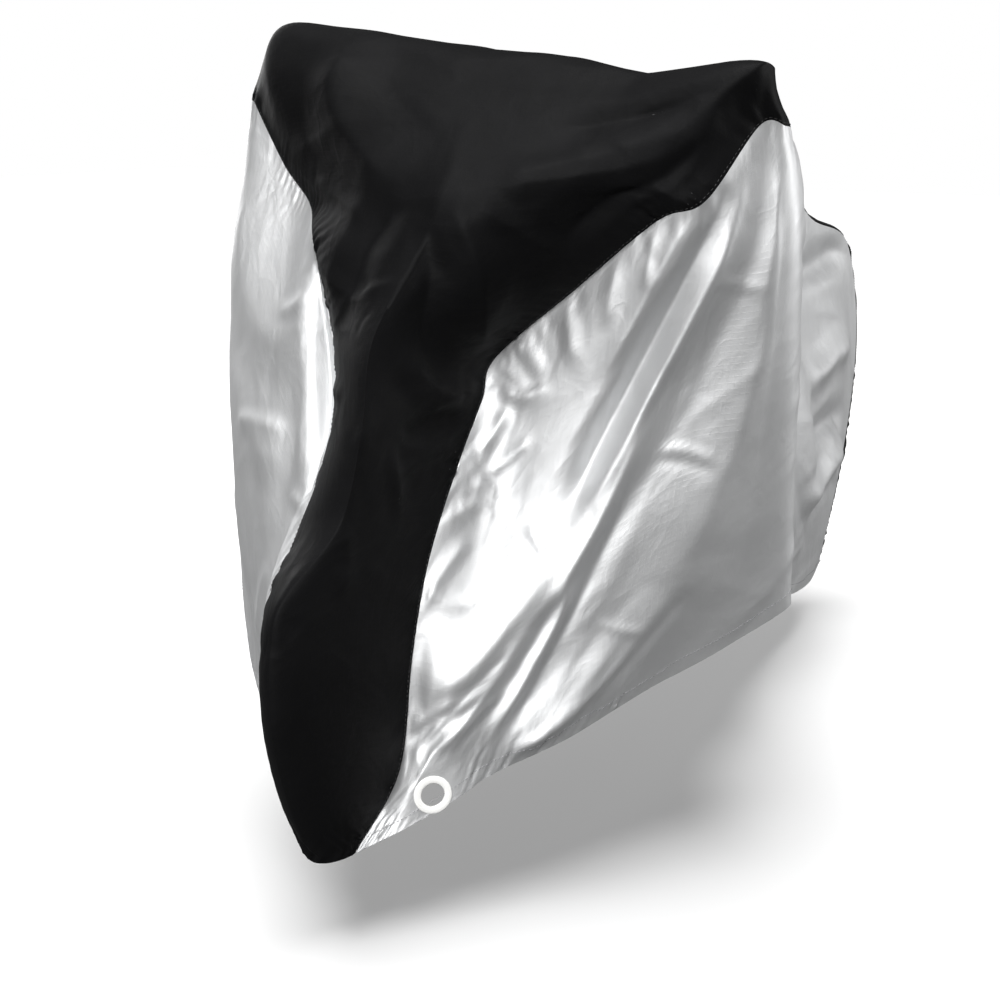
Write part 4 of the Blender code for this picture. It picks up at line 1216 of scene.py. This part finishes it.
        lean = outward(points, hand)
        edge = -1 if hand > 0 else 0
        shared = unit(lean[path] + centre_lean[edge])
        lean[path] = centre_lean[edge] = shared
        cloth = Cloth(f"side_cloth_{flank.word}", points, lean, hand, self._hem_thickness(hem_away), kept)
        return cloth, Eyelet(flank, spot - axis * (Eyelet.cloth / 2), axis)

    def _hole(self, points: Array, spot: Array, axis: Array) -> tuple[Array, Array]:
        """Open the eyelet's hole: points near its edge move onto the circle, and the cells inside it go.

        Args:
            points: The panel's points.
            spot: The hole's centre.
            axis: Its axis.

        Returns:
            The moved points, and which cells are kept.
        """
        off = points - spot
        along = off @ axis
        off = off - along[..., None] * axis
        reach = np.linalg.norm(off, axis=-1)
        close = (np.abs(along) < self.hole_radius) & (np.abs(reach - self.hole_radius) < self.hole_reach)
        edge = spot + unit(off) * self.hole_radius + along[..., None] * axis
        moved = np.where(close[..., None], edge, points)
        centres = (moved[:-1, :-1] + moved[1:, :-1] + moved[1:, 1:] + moved[:-1, 1:]) / 4
        return moved, np.linalg.norm(centres - spot, axis=-1) > self.hole_radius * 0.97

    def _threads(self, cloth: Cloth, path: tuple[Array, Array], flank: Flank, black: bpy.types.Material,
                 silver: bpy.types.Material, centre: Array, centre_lean: Array) -> list[bpy.types.Object]:
        """Sew the panel: a row beside its seam, on the centre panel, and a row along its hem.

        Args:
            cloth: The side panel's cloth.
            path: Its seam in its grid; not used.
            flank: Which side it is.
            black: The seam thread's finish.
            silver: The hem thread's finish.
            centre: The centre panel's points.
            centre_lean: And their leans.

        Returns:
            The two rows of stitches.
        """
        edge, inner = (-1, -2) if flank is Flank.LEFT else (0, 1)
        into = unit(centre[inner] - centre[edge])
        seam_row = Stitching(f"seam_stitches_{flank.word}", centre[edge] + into * self.seam_inset,
                             centre_lean[edge], "black_cloth")
        away = self._reach(cloth.outer, 1, False)
        row = np.argmin(np.abs(away - self.hem_height), axis=1)
        columns = np.arange(len(row))
        hem_row = Stitching(f"hem_stitches_{flank.word}", cloth.outer[columns, row], cloth.lean[columns, row],
                            "silver_cloth", pitch=0.0055, length=0.0040)
        return [seam_row.build(black), hem_row.build(silver)]


class Sun(NamedTuple):
    """A broad even light from one direction: its name, that direction, its width in degrees and its power."""

    name: str
    come_from: Point
    width: float
    power: float


class Screen(NamedTuple):
    """A square light that faces the cover's middle: its name, its place, its side and its power."""

    name: str
    at: Point
    size: float
    power: float


KEY = Sun("key", (0.21, -0.88, 0.41), 22, 3.1)
TOP = Sun("top", (0.02, -0.14, 0.99), 46, 3.8)
FILLS = (Screen("fill", (3.0, 2.8, 1.2), 1.4, 52), Screen("back fill", (-3.2, 1.8, 1.6), 1.6, 60))


@dataclass
class Studio:
    """The camera, the lights and the pale floor."""

    camera_at: Point = (1.05, -1.45, 1.00)
    azimuth: float = 32.0
    pitch: float = 15.0
    lens: float = 54.72
    ambient: float = 0.09       # strength of the pale surroundings, which show white behind the cover
    aim: Point = (0.0, 0.15, -0.5)
    floor_shade: float = 0.10   # the floor's colour in reflections
    floor_glow: float = 0.13    # lifts its shadows in the picture

    def build(self) -> None:
        """Set the camera at the photograph's angle, a front key light, a broad top light and two fills."""
        scene = bpy.context.scene
        data = bpy.data.cameras.new("camera")
        data.lens, data.sensor_width = self.lens, 36.0
        camera = bpy.data.objects.new("camera", data)
        camera.location = np.array(self.camera_at) - CARRIED_AT
        camera.rotation_euler = (math.radians(90 - self.pitch), 0, math.radians(self.azimuth))
        scene.collection.objects.link(camera)
        scene.camera = camera

        key = self._sun(KEY)
        self._sun(TOP)
        for screen in FILLS:
            self._screen(screen)
        world = bpy.data.worlds.new("studio")
        world.use_nodes = True
        world.node_tree.nodes["Background"].inputs["Color"].default_value = (1, 1, 1, 1)
        tree = world.node_tree
        path = tree.nodes.new("ShaderNodeLightPath")
        strength = tree.nodes.new("ShaderNodeMapRange")
        strength.inputs["To Min"].default_value, strength.inputs["To Max"].default_value = self.ambient, 1.0
        tree.links.new(path.outputs["Is Camera Ray"], strength.inputs["Value"])
        tree.links.new(strength.outputs[0], tree.nodes["Background"].inputs["Strength"])
        scene.world = world
        scene.view_settings.view_transform = "Standard"
        unlit = bpy.data.collections.new("not_lit_by_key")
        unlit.objects.link(self._floor())
        unlit.collection_objects[0].light_linking.link_state = "EXCLUDE"
        key.light_linking.receiver_collection = unlit

    @staticmethod
    def _sun(sun: Sun) -> bpy.types.Object:
        """Add a sun and return its lamp."""
        data = bpy.data.lights.new(sun.name, "SUN")
        data.angle, data.energy = math.radians(sun.width), sun.power
        lamp = bpy.data.objects.new(sun.name, data)
        lamp.rotation_euler = Vector(sun.come_from).to_track_quat("Z", "Y").to_euler()
        bpy.context.scene.collection.objects.link(lamp)
        return lamp

    def _screen(self, screen: Screen) -> None:
        """Add a square light, turned to the studio's aim."""
        data = bpy.data.lights.new(screen.name, "AREA")
        data.size, data.energy = screen.size, screen.power
        lamp = bpy.data.objects.new(screen.name, data)
        lamp.location = Vector(screen.at) - Vector(CARRIED_AT)
        lamp.rotation_euler = (Vector(self.aim) - lamp.location).to_track_quat("-Z", "Y").to_euler()
        bpy.context.scene.collection.objects.link(lamp)

    def _floor(self, reach: float = 14.0) -> bpy.types.Object:
        """Lay a pale square floor at the ground, and return it."""
        corners = [(x * reach, y * reach, GROUND) for x, y in ((-1, -1), (1, -1), (1, 1), (-1, 1))]
        mesh = bpy.data.meshes.new("floor")
        mesh.from_pydata(corners, [], [(0, 1, 2, 3)])
        finish = FLOOR.material()
        tree = finish.node_tree
        path = tree.nodes.new("ShaderNodeLightPath")
        seen = tree.nodes.new("ShaderNodeMix")
        seen.data_type = "RGBA"
        seen.inputs["A"].default_value = (*(self.floor_shade,) * 3, 1)
        shader = tree.nodes["Principled BSDF"]
        tree.links.new(shader.inputs["Base Color"].links[0].from_socket, seen.inputs["B"])
        tree.links.new(path.outputs["Is Camera Ray"], seen.inputs["Factor"])
        tree.links.new(seen.outputs["Result"], shader.inputs["Base Color"])
        shader.inputs["Emission Color"].default_value = (*(self.floor_glow,) * 3, 1)
        tree.links.new(path.outputs["Is Camera Ray"], shader.inputs["Emission Strength"])
        mesh.materials.append(finish)
        floor = bpy.data.objects.new("floor", mesh)
        bpy.context.scene.collection.objects.link(floor)
        return floor


def write_sizes() -> None:
    """Bring the view layer up to date."""
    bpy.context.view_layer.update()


def main() -> None:
    """Build the cover, then the studio."""
    logging.basicConfig(level=logging.INFO, format="%(message)s")
    for piece in Cover().build():
        logging.info("%s: %d faces", piece.name, len(piece.data.polygons))
    Studio().build()
    write_sizes()


if __name__ == "__main__":
    main()
